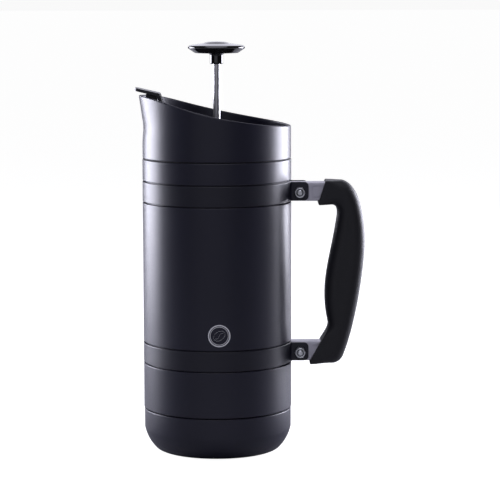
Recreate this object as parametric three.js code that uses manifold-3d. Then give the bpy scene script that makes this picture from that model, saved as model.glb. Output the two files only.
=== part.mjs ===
// Insulated french press: a double-wall steel vessel with a spouted collar, a lid with a flap over the
// spout, a plunger with its filter, and a side handle that two clamp straps hold.
// Millimetres, +Z up. The origin is on the vessel's axis, on the surface it stands on.
// The handle points along +X and the spout along -X. Heights in the tables are measured from a datum
// inside the base cap, footLift above that surface.
import * as THREE from "three";
import { mergeVertices } from "three/addons/utils/BufferGeometryUtils.js";
import Module from "manifold-3d";

const wasm = await Module();
wasm.setup();

// Driving dimensions.
const gap = 0.3; // between pieces that touch or slide
const halfSeam = 0.4; // half of the dark line between two outer pieces
const footLift = 2.2;
const body = { radius: 53, sheet: 0.8, bottomSeam: 28.5, topSeam: 207.5, edge: 0.4 };
const grooveDepth = 1.8;
const liner = { bore: 48, sheet: 0.6, floor: 15, corner: 7, lip: 216.8 };
const neck = { radius: 50.6, top: 215.9 };
const base = { radius: 52.6, taperTop: 14.5, recess: 0.7, recessGap: 0.4, floor: 4.9 };
const baseFoot = { edge: [41.6, -1.9], toe: [44.2, -1.1], knee: [45.4, 0.5], bulge: [50.9, 6.3] };
const spigot = { radius: 50, taperTop: 14.9, tipRadius: 46.4, bottom: 5.6 };
const pad = { radius: 39, edge: 0.6, top: 0.4 };
const bottomDisc = { hole: 1.5, low: 5.4, high: 6.2 };
const plug = { low: 5.3, stem: 1.2, seat: 6.5, radius: 3.5, dome: 2.6, high: 7.3 };
const strap = { thickness: 1.5, lugGap: 6.3, earEnd: 65.2, earCorner: 3.2, earTrim: 0.4, bend: 1.6 };
const straps = [
  { name: "lower", bottomSeam: 61.6, topSeam: 76.3, boltX: 59.2, boltZ: 68.6 },
  { name: "upper", bottomSeam: 176.7, topSeam: 191.6, boltX: 58.9, boltZ: 183.4 },
];
const bolt = { radius: 2, chamfer: 0.4, headRadius: 3.8, headHeight: 2.4, tip: 13.5 };
const nut = { flats: 7, height: 5, collar: 1.2, insert: 1.5, insertRadius: 3 };
const lug = { start: 51.6, halfWidth: 6 };
const panel = { depth: 0.8, left: 67.4, inset: 2.4, corner: 0.8, groove: 0.7 };
const lugs = [
  { low: 177, high: 190.3, end: 84, panelEnd: 77 },
  { low: 62.2, high: 76, end: 78, panelEnd: 75 },
];
const spineHalfWidth = 4.5;
const grip = { halfWidth: 11, bevel: 4 };
const collar = { radius: 52.8, bore: 50.9, blank: 258 };
const rimLine = [[-60, 253], [-29.6, 250.8], [-24, 239], [56, 230.3]]; // the rim seen from the side
const flare = { start: 233, height: 20, reach: 2.6, power: 1.3, narrow: 10 };
const waist = { depth: 0.7, height: 229, spread: 6 };
const cover = { radius: 50.4, wall: 2.1, seat: 217.1, belowRim: 9, skin: 2.2 };
const boss = { radius: 7.8, bottom: 222.4, top: 232.4, hole: 5.5 };
const flapWindow = { left: -48.3, right: -41.2, halfWidth: 10, bottom: 231.4 };
const lidBase = { radius: 47.9, bottom: 217.4, top: 219.4, skirt: 46.4, skirtBore: 44.4, skirtEnd: 206.4 };
const strainer = { slots: 9, turn: Math.PI / 20, inner: 24, outer: 40, halfWidth: 1.3 };
const sealGroove = { bottom: 209, top: 213, floor: 45.1 };
const sealLip = { edge: 0.8, groove: 0.8, chamfer: 0.5 };
const hinge = { x: -39.2, z: 244.6, knuckle: 2, pin: 1.2, earFoot: 238, earInside: 6.4, earOutside: 9.4 };
const flap = { halfWidth: 9.5, corner: 6, tip: -58.4, plugInset: 0.5 };
const rod = { radius: 2.5, stud: 2, shoulder: 66.9, bottom: 58.6, top: 284.3 };
const bush = { radius: 5, bottom: 214.8, flangeRadius: 7, flangeHeight: 1.5 };
const knob = { radius: 20.3, boss: 4.7, bossBottom: 274, underside: 281.8, recess: 286.8, top: 290 };
const knobRing = { radius: 9.2, edgeDrop: 1.3, crown: 7 };
const coil = { radius: 45.9, section: 1.5, z: 67.2 };
const filterDiscs = [
  { name: "filter_top_plate", radius: 43.9, bottom: 65.6, top: 66.6, holes: 8, holeRadius: 6.5, pitch: 26 },
  { name: "filter_mesh", radius: 47.2, bottom: 64.9, top: 65.3, holes: 0, holeRadius: 0, pitch: 0 },
  { name: "filter_bottom_plate", radius: 42, bottom: 63.6, top: 64.6, holes: 12, holeRadius: 5, pitch: 30 },
];
const hub = { corner: 6, bottom: 59.6, top: 63.3 };
const beyond = 60; // past every piece's side, for cutting tools
const around = 32; // facets of the large rounds
const aroundSmall = 12; // facets of rods, bolts and bushes

const finishes = {
  powderCoat: new THREE.MeshStandardMaterial({ color: 0x22222c, roughness: 0.55, metalness: 0.2 }),
  steel: new THREE.MeshStandardMaterial({ color: 0xc4c6c8, roughness: 0.3, metalness: 1 }),
  zinc: new THREE.MeshStandardMaterial({ color: 0xb9bcc0, roughness: 0.35, metalness: 1 }),
  dieCast: new THREE.MeshStandardMaterial({ color: 0x8b8b93, roughness: 0.5, metalness: 0.9 }),
  softTouch: new THREE.MeshStandardMaterial({ color: 0x17171b, roughness: 0.75, metalness: 0 }),
  mattePlastic: new THREE.MeshStandardMaterial({ color: 0x141416, roughness: 0.6, metalness: 0 }),
  glossPlastic: new THREE.MeshStandardMaterial({ color: 0x0c0c0e, roughness: 0.15, metalness: 0 }),
  silicone: new THREE.MeshStandardMaterial({ color: 0x2a2a2c, roughness: 0.8, metalness: 0 }),
  resin: new THREE.MeshStandardMaterial({ color: 0x6f6a60, roughness: 0.5, metalness: 0 }),
};

// ---- Geometry helpers ----

// A profile of [radius, height] points, or a THREE.Path in those axes, turned round the Z axis.
// It runs anticlockwise: up the outside and down the inside.
function turned(profile, facets = around) {
  const isList = Array.isArray(profile);
  const points = isList ? profile.map(([r, z]) => new THREE.Vector2(r, z)) : profile.getPoints(3);
  const onAxis = points[0].x === 0;
  if (!onAxis && !points[0].equals(points.at(-1))) points.push(points[0].clone());
  return new THREE.LatheGeometry(points, facets).rotateX(Math.PI / 2);
}

// A shape in the X-Y plane, extruded from low to high along Z.
function slab(shape, low, high, curveSegments = 6) {
  const settings = { depth: high - low, bevelEnabled: false, curveSegments };
  return new THREE.ExtrudeGeometry(shape, settings).translate(0, 0, low);
}

// A shape in the X-Z plane, extruded from low to high along Y.
function plate(shape, low, high, curveSegments = 6) {
  return slab(shape, -high, -low, curveSegments).rotateX(Math.PI / 2);
}

function block([x0, y0, z0], [x1, y1, z1]) {
  const box = new THREE.BoxGeometry(x1 - x0, y1 - y0, z1 - z0);
  return box.translate((x0 + x1) / 2, (y0 + y1) / 2, (z0 + z1) / 2);
}

// A round bar along Y.
function crossBar(radius, x, z, low, high) {
  const bar = new THREE.CylinderGeometry(radius, radius, high - low, aroundSmall);
  return bar.translate(x, (low + high) / 2, z);
}

// A round bar on the Z axis.
function roundBar(radius, low, high, facets = aroundSmall) {
  return turned([[0, low], [radius, low], [radius, high], [0, high]], facets);
}

function outline(points) {
  return new THREE.Shape(points.map(([a, b]) => new THREE.Vector2(a, b)));
}

function roundedRectangle(left, bottom, right, top, corner) {
  const shape = new THREE.Shape();
  shape.absarc(right - corner, top - corner, corner, 0, Math.PI / 2);
  shape.absarc(left + corner, top - corner, corner, Math.PI / 2, Math.PI);
  shape.absarc(left + corner, bottom + corner, corner, Math.PI, Math.PI * 1.5);
  shape.absarc(right - corner, bottom + corner, corner, Math.PI * 1.5, Math.PI * 2);
  return shape;
}

function solid(geometry) {
  const bare = geometry.index ? geometry.toNonIndexed() : geometry.clone();
  bare.deleteAttribute("normal");
  bare.deleteAttribute("uv");
  const merged = mergeVertices(bare, 1e-3);
  const mesh = new wasm.Mesh({
    numProp: 3,
    vertProperties: merged.attributes.position.array,
    triVerts: new Uint32Array(merged.index.array),
  });
  return new wasm.Manifold(mesh);
}

function geometryOf(made) {
  const mesh = made.getMesh();
  const geometry = new THREE.BufferGeometry();
  geometry.setAttribute("position", new THREE.BufferAttribute(mesh.vertProperties, 3));
  geometry.setIndex(new THREE.BufferAttribute(mesh.triVerts, 1));
  return geometry;
}

const combine = (step) => (first, ...others) =>
  geometryOf(others.reduce((made, other) => made[step](solid(other)), solid(first)));
const cut = combine("subtract");
const join = combine("add");
const common = combine("intersect");

const press = new THREE.Group();

function add(name, geometry, material) {
  const mesh = new THREE.Mesh(geometry, material);
  mesh.name = name;
  press.add(mesh);
}

// ---- Vessel ----

function footPad() {
  const { radius, edge, top } = pad;
  const low = -footLift;
  return turned([[0, low], [radius - edge, low], [radius, low + edge], [radius, top], [0, top]]);
}

// A cup over the foot of the shell, its side curving in to a narrow foot that is recessed for the pad.
function baseCap() {
  const recessRadius = pad.radius + base.recessGap;
  const top = body.bottomSeam - halfSeam;
  const bore = spigot.radius + gap;
  const profile = new THREE.Path();
  profile.moveTo(0, base.recess);
  profile.lineTo(recessRadius, base.recess);
  profile.lineTo(recessRadius, baseFoot.edge[1]);
  profile.lineTo(...baseFoot.edge);
  profile.quadraticCurveTo(...baseFoot.toe, ...baseFoot.knee);
  profile.quadraticCurveTo(...baseFoot.bulge, base.radius, base.taperTop);
  profile.lineTo(base.radius, top - body.edge);
  profile.lineTo(base.radius - body.edge, top);
  profile.lineTo(bore, top);
  profile.lineTo(bore, spigot.taperTop - gap);
  profile.lineTo(spigot.tipRadius + 0.5, base.floor + gap);
  profile.lineTo(spigot.tipRadius - gap, base.floor);
  profile.lineTo(0, base.floor);
  return turned(profile);
}

// The sheet's outer line from the foot up, and the same line one thickness in on the way down.
function outerShell() {
  const { radius, sheet, edge } = body;
  const bottom = body.bottomSeam + halfSeam;
  const shoulder = body.topSeam - halfSeam;
  const grooveRadius = radius - grooveDepth;
  const outside = [
    [spigot.tipRadius, spigot.bottom],
    [spigot.radius, spigot.taperTop],
    [spigot.radius, bottom],
    [radius - edge, bottom],
    [radius, bottom + edge],
  ];
  const inside = [
    [spigot.tipRadius - sheet, spigot.bottom],
    [spigot.radius - sheet, spigot.taperTop + 0.2],
    [spigot.radius - sheet, bottom + sheet],
    [radius - sheet, bottom + sheet],
  ];
  for (const { bottomSeam, topSeam } of straps) {
    const low = bottomSeam - halfSeam;
    const high = topSeam + halfSeam;
    outside.push([radius, low], [grooveRadius, low], [grooveRadius, high], [radius, high]);
    inside.push([radius - sheet, low - sheet], [grooveRadius - sheet, low - sheet]);
    inside.push([grooveRadius - sheet, high + sheet], [radius - sheet, high + sheet]);
  }
  outside.push([radius, shoulder - edge], [radius - edge, shoulder]);
  outside.push([neck.radius, shoulder], [neck.radius, neck.top]);
  inside.push([radius - sheet, shoulder - sheet], [neck.radius - sheet, shoulder - sheet]);
  inside.push([neck.radius - sheet, neck.top]);
  return turned([...outside, ...inside.reverse()]);
}

function innerLiner() {
  const { bore, sheet, floor, corner, lip } = liner;
  const centre = { r: bore - corner, z: floor + corner };
  const profile = new THREE.Path();
  profile.moveTo(0, floor - sheet);
  profile.lineTo(centre.r, floor - sheet);
  profile.absarc(centre.r, centre.z, corner + sheet, -Math.PI / 2, 0, false);
  profile.lineTo(bore + sheet, lip - sheet);
  profile.lineTo(neck.radius, lip - sheet);
  profile.lineTo(neck.radius, lip);
  profile.lineTo(bore, lip);
  profile.absarc(centre.r, centre.z, corner, 0, -Math.PI / 2, true);
  profile.lineTo(0, floor);
  return turned(profile);
}

// The disc welded in under the vacuum space, with the hole that the air was drawn through.
function shellBottom() {
  const outer = spigot.tipRadius - body.sheet - gap;
  const { hole, low, high } = bottomDisc;
  return turned([[hole, low], [outer, low], [outer, high], [hole, high]]);
}

function vacuumPlug() {
  const { low, stem, seat, radius, dome, high } = plug;
  return turned([[0, low], [stem, low], [stem, seat], [radius, seat], [dome, high], [0, high]], aroundSmall);
}

function collarGasket() {
  const outer = collar.radius - 0.7;
  const low = body.topSeam - 0.2;
  const high = body.topSeam + 0.2;
  return turned([[collar.bore + 0.1, low], [outer, low], [outer, high], [collar.bore + 0.1, high]]);
}

// The region under the slanted rim line, moved down by drop, wide enough to cut any round piece.
function belowRim(drop) {
  const shape = new THREE.Shape();
  const [start, first, second, end] = rimLine.map(([x, z]) => [x, z - drop]);
  shape.moveTo(...start);
  shape.bezierCurveTo(...first, ...second, ...end);
  shape.lineTo(end[0], body.topSeam - 8);
  shape.lineTo(start[0], body.topSeam - 8);
  return plate(shape, -beyond, beyond, 14);
}

// How far the spout leans out at a height: a slight waist, then a flare to the lip.
function spoutLean(z) {
  const rise = THREE.MathUtils.clamp((z - flare.start) / flare.height, 0, 1);
  const fromWaist = (z - waist.height) / waist.spread;
  return flare.reach * rise ** flare.power - waist.depth * Math.exp(-(fromWaist ** 2));
}

// A plain tube whose wall is leaned out on the spout side, then cut along the rim line.
function spoutCollar() {
  const bottom = body.topSeam + halfSeam;
  const heights = [bottom + body.edge, 218, 224, 229, 233, 237, 241, 245, 249, collar.blank];
  const outside = heights.map((z) => [collar.radius, z]);
  const inside = heights.slice(1).map((z) => [collar.bore, z]);
  const foot = [[collar.bore, bottom], [collar.radius - body.edge, bottom]];
  const tube = turned([...foot, ...outside, ...inside.reverse()]);
  const place = tube.attributes.position;
  const middleRadius = (collar.radius + collar.bore) / 2;
  for (let i = 0; i < place.count; i++) {
    const [x, y, z] = [place.getX(i), place.getY(i), place.getZ(i)];
    const radius = Math.hypot(x, y);
    const towardsSpout = Math.max(0, -x / radius) ** flare.narrow;
    const isInside = radius < middleRadius;
    const lean = isInside ? Math.max(0, spoutLean(z)) : spoutLean(z);
    const stretch = 1 + (lean * towardsSpout) / radius;
    place.setXY(i, x * stretch, y * stretch);
  }
  return common(tube, belowRim(0));
}

// ---- Handle ----

// A band round the vessel whose two ends turn out into ears.
function clampStrap({ bottomSeam, topSeam, boltX, boltZ }) {
  const outer = body.radius;
  const inner = outer - strap.thickness;
  const nearEar = strap.lugGap;
  const farEar = nearEar + strap.thickness;
  const bendX = Math.sqrt((outer + strap.bend) ** 2 - (farEar + strap.bend) ** 2);
  const bendAngle = Math.atan2(farEar + strap.bend, bendX);
  const innerAngle = Math.asin(nearEar / inner);
  const ring = new THREE.Shape();
  const turnY = farEar + strap.bend;
  ring.moveTo(strap.earEnd, farEar);
  ring.absarc(bendX, turnY, strap.bend, -Math.PI / 2, bendAngle - Math.PI, true);
  ring.absarc(0, 0, outer, bendAngle, Math.PI * 2 - bendAngle, false);
  ring.absarc(bendX, -turnY, strap.bend, Math.PI - bendAngle, Math.PI / 2, true);
  ring.lineTo(strap.earEnd, -farEar);
  ring.lineTo(strap.earEnd, -nearEar);
  ring.absarc(0, 0, inner, Math.PI * 2 - innerAngle, innerAngle, true);
  ring.lineTo(strap.earEnd, nearEar);
  const low = bottomSeam + halfSeam;
  const high = topSeam - halfSeam;
  const earLow = low + strap.earTrim;
  const earHigh = high - strap.earTrim;
  const corner = strap.earCorner;
  const cornerX = strap.earEnd - corner;
  const front = new THREE.Shape();
  front.moveTo(-outer - 2, low);
  front.lineTo(inner, low);
  front.lineTo(outer, earLow);
  front.absarc(cornerX, earLow + corner, corner, -Math.PI / 2, 0, false);
  front.absarc(cornerX, earHigh - corner, corner, 0, Math.PI / 2, false);
  front.lineTo(outer, earHigh);
  front.lineTo(inner, high);
  front.lineTo(-outer - 2, high);
  const band = slab(ring, low, high, 20);
  const trimmed = common(band, plate(front, -outer - 2, outer + 2, 4));
  return cut(trimmed, boltHole({ boltX, boltZ }));
}

function boltHole({ boltX, boltZ }) {
  return crossBar(bolt.radius + gap, boltX, boltZ, -beyond, beyond);
}

// A button-head bolt from the far side, through both ears and the lug.
function clampBolt({ boltX, boltZ }) {
  const earFace = strap.lugGap + strap.thickness + gap;
  const profile = new THREE.Path();
  profile.moveTo(0, -bolt.tip);
  profile.lineTo(bolt.radius - bolt.chamfer, -bolt.tip);
  profile.lineTo(bolt.radius, -bolt.tip + bolt.chamfer);
  profile.lineTo(bolt.radius, earFace);
  profile.lineTo(bolt.headRadius, earFace);
  profile.quadraticCurveTo(bolt.headRadius, earFace + bolt.headHeight, 0, earFace + bolt.headHeight);
  return turned(profile, aroundSmall).rotateX(-Math.PI / 2).translate(boltX, 0, boltZ);
}

// A locking hex nut on the near side, with a collar that holds its plastic ring.
function clampNut({ boltX, boltZ }) {
  const face = -(strap.lugGap + strap.thickness + gap);
  const corner = nut.flats / Math.sqrt(3);
  const end = face - nut.height;
  const hexHeight = nut.height - nut.collar;
  const hex = new THREE.CylinderGeometry(corner, corner, hexHeight, 6);
  const seat = crossBar(nut.flats / 2, boltX, boltZ, end, end + nut.collar + gap);
  const blank = join(hex.translate(boltX, face - hexHeight / 2, boltZ), seat);
  const pocket = crossBar(nut.insertRadius + gap / 2, boltX, boltZ, end - 1, end + nut.insert);
  return cut(blank, boltHole({ boltX, boltZ }), pocket);
}

function nutInsert({ boltX, boltZ }) {
  const end = -(strap.lugGap + strap.thickness + gap) - nut.height + gap;
  const ring = crossBar(nut.insertRadius - gap / 2, boltX, boltZ, end, end + nut.insert - gap * 2);
  return cut(ring, crossBar(bolt.radius + gap / 2, boltX, boltZ, end - 1, end + 3));
}

// The middle line of the handle from the upper lug down to the lower lug.
const spineLine = new THREE.SplineCurve([
  new THREE.Vector2(80, 183.5),
  new THREE.Vector2(88, 181.5),
  new THREE.Vector2(94, 168),
  new THREE.Vector2(93.8, 148),
  new THREE.Vector2(90, 120),
  new THREE.Vector2(88, 97),
  new THREE.Vector2(84, 78),
  new THREE.Vector2(76, 69),
]);

// The cast core: two lugs and the curved spine between them, all larger by grow on every side.
function coreSolid(grow) {
  const steps = 20;
  const half = spineHalfWidth + grow;
  const across = (step, side) => {
    const at = spineLine.getPoint(step / steps);
    const along = spineLine.getTangent(step / steps);
    return [at.x - along.y * side * half, at.y + along.x * side * half];
  };
  const count = Array.from({ length: steps + 1 }, (_, i) => i);
  const ribbon = outline([...count.map((i) => across(i, 1)), ...count.reverse().map((i) => across(i, -1))]);
  const y = lug.halfWidth + grow;
  const spine = plate(ribbon, -y, y);
  const bars = lugs.map(({ low, high, end }) => block([lug.start, -y, low - grow], [end, y, high + grow]));
  return join(spine, ...bars);
}

// The tool for the narrow groove that outlines a panel on one side of a lug, open towards the grip.
function panelGroove({ low, high, panelEnd }, side) {
  const { depth, left, corner, groove } = panel;
  const [near, far] = [side * (lug.halfWidth - depth), side * (lug.halfWidth + 1)].sort((a, b) => a - b);
  const [bottom, top] = [low + panel.inset, high - panel.inset];
  const outer = roundedRectangle(left, bottom, panelEnd, top, corner);
  const inner = roundedRectangle(left + groove, bottom + groove, panelEnd + 2, top - groove, corner);
  return cut(plate(outer, near, far, 2), plate(inner, near - 1, far + 1, 2));
}

// The core with its bolt holes and a grooved panel on each side of each lug.
function handleCore() {
  const grooves = lugs.flatMap((bar) => [-1, 1].map((side) => panelGroove(bar, side)));
  return cut(coreSolid(0), ...straps.map(boltHole), ...grooves);
}

// The soft grip: one side outline with its long edges rounded, and a tunnel for the core.
function handleGrip() {
  const side = new THREE.Shape();
  side.moveTo(71.6, 174.3);
  side.lineTo(77.2, 191.5);
  side.lineTo(89.2, 191.5);
  side.quadraticCurveTo(96.5, 189.8, 101, 178.5);
  side.quadraticCurveTo(105.2, 165.5, 105.4, 148.3);
  side.bezierCurveTo(105.6, 133.2, 100, 90.1, 90.2, 65.7);
  side.quadraticCurveTo(87.5, 60.2, 82, 60);
  side.lineTo(65.2, 60);
  side.lineTo(74.5, 77.3);
  side.quadraticCurveTo(79.4, 85, 79.1, 89.1);
  side.bezierCurveTo(72.6, 118.3, 81.1, 134.6, 85.6, 167);
  side.quadraticCurveTo(86, 174, 81.5, 174.3);
  const blank = new THREE.ExtrudeGeometry(side, {
    depth: (grip.halfWidth - grip.bevel) * 2,
    bevelThickness: grip.bevel,
    bevelSize: grip.bevel,
    bevelOffset: -grip.bevel,
    bevelSegments: 3,
    curveSegments: 5,
  });
  blank.rotateX(Math.PI / 2).translate(0, grip.halfWidth - grip.bevel, 0);
  return cut(blank, coreSolid(gap));
}

// ---- Lid ----

// A hollow cap under the rim line, with a boss for the plunger's bush and a window under the flap.
function lidCover() {
  const blank = roundBar(cover.radius, cover.seat, collar.blank, around);
  const hollow = roundBar(cover.radius - cover.wall, cover.seat - 1, collar.blank, around);
  const outside = common(blank, belowRim(cover.belowRim));
  const inside = common(hollow, belowRim(cover.belowRim + cover.skin));
  const seat = roundBar(boss.radius, boss.bottom, boss.top, aroundSmall * 2);
  const bushHole = roundBar(boss.hole, lidBase.bottom, collar.blank);
  const { left, right, halfWidth, bottom } = flapWindow;
  const opening = block([left, -halfWidth, bottom], [right, halfWidth, collar.blank]);
  const ears = [-1, 1].map(hingeEar);
  return cut(join(cut(outside, inside), seat, ...ears), bushHole, opening, pinHole());
}

function hingeEar(side) {
  const shape = new THREE.Shape();
  shape.moveTo(hinge.x - hinge.knuckle, hinge.earFoot);
  shape.lineTo(hinge.x + hinge.knuckle, hinge.earFoot);
  shape.absarc(hinge.x, hinge.z, hinge.knuckle, 0, Math.PI, false);
  const [near, far] = [side * hinge.earInside, side * hinge.earOutside];
  return plate(shape, Math.min(near, far), Math.max(near, far), 4);
}

function pinHole() {
  const reach = hinge.earOutside + 1;
  return crossBar(hinge.pin + gap, hinge.x, hinge.z, -reach, reach);
}

function flapPin() {
  return crossBar(hinge.pin, hinge.x, hinge.z, -hinge.earOutside, hinge.earOutside);
}

// The plate under the cover: it strains at the spout side and carries the seal that fits the bore.
function lidBasePlate() {
  const { radius, bottom, top, skirt, skirtBore, skirtEnd } = lidBase;
  const { hole } = boss;
  const { floor, bottom: grooveLow, top: grooveHigh } = sealGroove;
  const blank = turned([
    [skirtBore, skirtEnd], [skirt, skirtEnd], [skirt, grooveLow], [floor, grooveLow], [floor, grooveHigh],
    [skirt, grooveHigh], [skirt, bottom], [radius, bottom], [radius, top], [hole, top], [hole, bottom],
    [skirtBore, bottom],
  ]);
  const slots = [];
  const { inner, outer, halfWidth } = strainer;
  for (let i = 0; i < strainer.slots; i++) {
    const slot = block([inner, -halfWidth, bottom - 1], [outer, halfWidth, top + 1]);
    slots.push(slot.rotateZ(Math.PI + (i - (strainer.slots - 1) / 2) * strainer.turn));
  }
  return cut(blank, ...slots);
}

function lidSeal() {
  const inner = sealGroove.floor + gap;
  const lipRadius = liner.bore - gap;
  const [low, high] = [sealGroove.bottom + gap, sealGroove.top - gap];
  const middle = (low + high) / 2;
  const { edge, groove, chamfer } = sealLip;
  return turned([
    [inner, low], [lipRadius - chamfer, low], [lipRadius, low + edge], [lipRadius - groove, middle],
    [lipRadius, high - edge], [lipRadius - chamfer, high], [inner, high],
  ]);
}

// A bent tab over the spout: its heel goes down to a knuckle on the pin.
function spoutFlap() {
  const bent = outline([
    [-57.9, 257.7], [-58.3, 255.6], [-42.1, 251.8], [-40.7, 247.6], [-38.3, 247.6],
    [-39.9, 252.9], [-40.6, 253.7],
  ]);
  const width = flap.halfWidth;
  const plan = roundedRectangle(flap.tip, -width, hinge.x + flap.corner + 3, width, flap.corner);
  const tab = common(plate(bent, -width, width), slab(plan, 240, 260, 4));
  const web = new THREE.Shape();
  web.moveTo(-38.6, 248.4);
  web.lineTo(-40.9, 248.4);
  web.absarc(hinge.x, hinge.z, hinge.knuckle, Math.PI, Math.PI * 2, false);
  const webWidth = hinge.earInside - gap;
  return cut(join(tab, plate(web, -webWidth, webWidth, 4)), pinHole());
}

// The soft block under the tab that stops the window in the cover.
function flapPlug() {
  const side = outline([[-50, 253.4], [-50, 245], [-47.2, 241.6], [-42.2, 241.6], [-42.4, 251.6]]);
  const half = flap.halfWidth - flap.plugInset;
  return plate(side, -half, half);
}

// ---- Plunger ----

function rodBush() {
  const hole = rod.radius + gap;
  const flange = boss.top + gap;
  const top = flange + bush.flangeHeight;
  const { radius, bottom, flangeRadius } = bush;
  return turned([
    [hole, bottom], [radius - 0.5, bottom], [radius, bottom + 0.8], [radius, flange], [flangeRadius, flange],
    [flangeRadius, top - 0.5], [flangeRadius - 0.5, top], [hole, top],
  ], aroundSmall);
}

function plungerRod() {
  const { radius, stud, shoulder, bottom, top } = rod;
  return join(roundBar(stud, bottom, shoulder + gap), roundBar(radius, shoulder, top));
}

function knobDisc() {
  const hole = rod.radius + gap;
  const { radius, bossBottom, underside } = knob;
  const recess = knobRing.radius + gap;
  const neckRadius = knob.boss;
  return turned([
    [0, rod.top + gap], [hole, rod.top + gap], [hole, bossBottom], [neckRadius - 0.7, bossBottom],
    [neckRadius, bossBottom + 0.7], [neckRadius, underside - 0.4], [15.2, underside], [radius - 0.3, 285.2],
    [radius, 286], [19.7, 286.9], [18.4, 287.6], [recess, 288.7], [recess, knob.recess], [0, knob.recess],
  ]);
}

function knobCap() {
  const profile = new THREE.Path();
  profile.moveTo(0, knob.recess + gap);
  profile.lineTo(knobRing.radius, knob.recess + gap);
  profile.lineTo(knobRing.radius, knob.top - knobRing.edgeDrop);
  profile.quadraticCurveTo(knobRing.crown, knob.top, 0, knob.top);
  return turned(profile);
}

// A thin disc with a hole for the stud and a ring of drain holes.
function filterDisc({ radius, bottom, top, holes, holeRadius, pitch }) {
  const ring = (x, y, size, sides) =>
    new THREE.EllipseCurve(x, y, size, size, 0, Math.PI * 2).getPoints(sides).slice(0, sides);
  const shape = new THREE.Shape(ring(0, 0, radius, around));
  shape.holes.push(new THREE.Path(ring(0, 0, rod.stud + gap, 8)));
  for (let i = 0; i < holes; i++) {
    const angle = (i * Math.PI * 2) / holes;
    shape.holes.push(new THREE.Path(ring(Math.cos(angle) * pitch, Math.sin(angle) * pitch, holeRadius, 8)));
  }
  return slab(shape, bottom, top);
}

function edgeCoil() {
  const section = new THREE.Path();
  section.absarc(coil.radius, coil.z, coil.section, 0, Math.PI * 2);
  const points = section.getSpacedPoints(6).slice(0, 6).map(({ x, y }) => [x, y]);
  return turned(points);
}

function hubNut() {
  const { corner, bottom, top } = hub;
  const hex = new THREE.CylinderGeometry(corner, corner, top - bottom, 6).rotateX(Math.PI / 2);
  return cut(hex.translate(0, 0, (bottom + top) / 2), roundBar(rod.stud + gap, bottom - 1, top + 1));
}

// ---- Assembly ----

add("foot_pad", footPad(), finishes.silicone);
add("base_cap", baseCap(), finishes.powderCoat);
add("outer_shell", outerShell(), finishes.powderCoat);
add("inner_liner", innerLiner(), finishes.steel);
add("shell_bottom", shellBottom(), finishes.steel);
add("vacuum_plug", vacuumPlug(), finishes.resin);
add("collar_gasket", collarGasket(), finishes.silicone);
add("spout_collar", spoutCollar(), finishes.powderCoat);
for (const place of straps) {
  add(place.name + "_strap", clampStrap(place), finishes.powderCoat);
  add(place.name + "_bolt", clampBolt(place), finishes.zinc);
  add(place.name + "_nut", clampNut(place), finishes.zinc);
  add(place.name + "_nut_insert", nutInsert(place), finishes.glossPlastic);
}
add("handle_core", handleCore(), finishes.dieCast);
add("handle_grip", handleGrip(), finishes.softTouch);
add("lid_cover", lidCover(), finishes.mattePlastic);
add("lid_base", lidBasePlate(), finishes.mattePlastic);
add("lid_seal", lidSeal(), finishes.silicone);
add("flap_pin", flapPin(), finishes.steel);
add("spout_flap", spoutFlap(), finishes.mattePlastic);
add("flap_plug", flapPlug(), finishes.silicone);
add("rod_bush", rodBush(), finishes.mattePlastic);
add("plunger_rod", plungerRod(), finishes.steel);
add("knob", knobDisc(), finishes.glossPlastic);
add("knob_cap", knobCap(), finishes.glossPlastic);
for (const disc of filterDiscs) add(disc.name, filterDisc(disc), finishes.steel);
add("filter_edge_coil", edgeCoil(), finishes.steel);
add("filter_hub_nut", hubNut(), finishes.steel);
press.position.z = footLift;

export default press;
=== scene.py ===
# Insulated french press: every piece finished in detail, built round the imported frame.
# Lengths in the tables are in millimetres, and meshes are made in metres.
import math
import bmesh
import bpy
from mathutils import Matrix, Vector


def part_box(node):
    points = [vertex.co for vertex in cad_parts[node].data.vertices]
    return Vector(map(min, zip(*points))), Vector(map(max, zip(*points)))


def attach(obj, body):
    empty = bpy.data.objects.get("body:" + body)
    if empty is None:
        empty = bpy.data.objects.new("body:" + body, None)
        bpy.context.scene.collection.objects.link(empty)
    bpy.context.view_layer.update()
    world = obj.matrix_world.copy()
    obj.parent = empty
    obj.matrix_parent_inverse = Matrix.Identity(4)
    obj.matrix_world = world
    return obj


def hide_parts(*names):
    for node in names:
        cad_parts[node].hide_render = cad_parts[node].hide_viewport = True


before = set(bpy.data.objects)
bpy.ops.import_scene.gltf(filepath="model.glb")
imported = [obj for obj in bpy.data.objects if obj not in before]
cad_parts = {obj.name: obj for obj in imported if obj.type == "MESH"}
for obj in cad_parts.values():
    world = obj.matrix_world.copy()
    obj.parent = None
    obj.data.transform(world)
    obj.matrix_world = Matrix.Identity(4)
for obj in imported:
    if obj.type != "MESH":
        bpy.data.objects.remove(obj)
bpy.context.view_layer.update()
print("frame loaded:", len(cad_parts), "nodes")

mm = 0.001
sliding = 0.3  # gap between pieces that touch or slide
collarFoot = 207.9  # the collar's lower edge in the tables, whose heights start inside the base cap
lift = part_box("spout_collar")[0].z / mm - collarFoot


# Shape helpers.

def span(node):
    # Lowest and highest corner of a frame node, in millimetres from the tables' zero.
    raised = Vector((0, 0, lift))
    low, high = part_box(node)
    return low / mm - raised, high / mm - raised


def arcPoints(centre, radius, first, last, count):
    # Points on an arc, both ends included, angles in degrees.
    angles = [math.radians(first + (last - first) * i / count) for i in range(count + 1)]
    return [(centre[0] + radius * math.cos(a), centre[1] + radius * math.sin(a)) for a in angles]


def curvePoints(controls, count):
    # A Bezier curve of any degree, without its first point, so that pieces chain end to end.
    made = []
    for i in range(1, count + 1):
        row = [Vector(c) for c in controls]
        while len(row) > 1:
            row = [a.lerp(b, i / count) for a, b in zip(row, row[1:])]
        made.append(tuple(row[0]))
    return made


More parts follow.
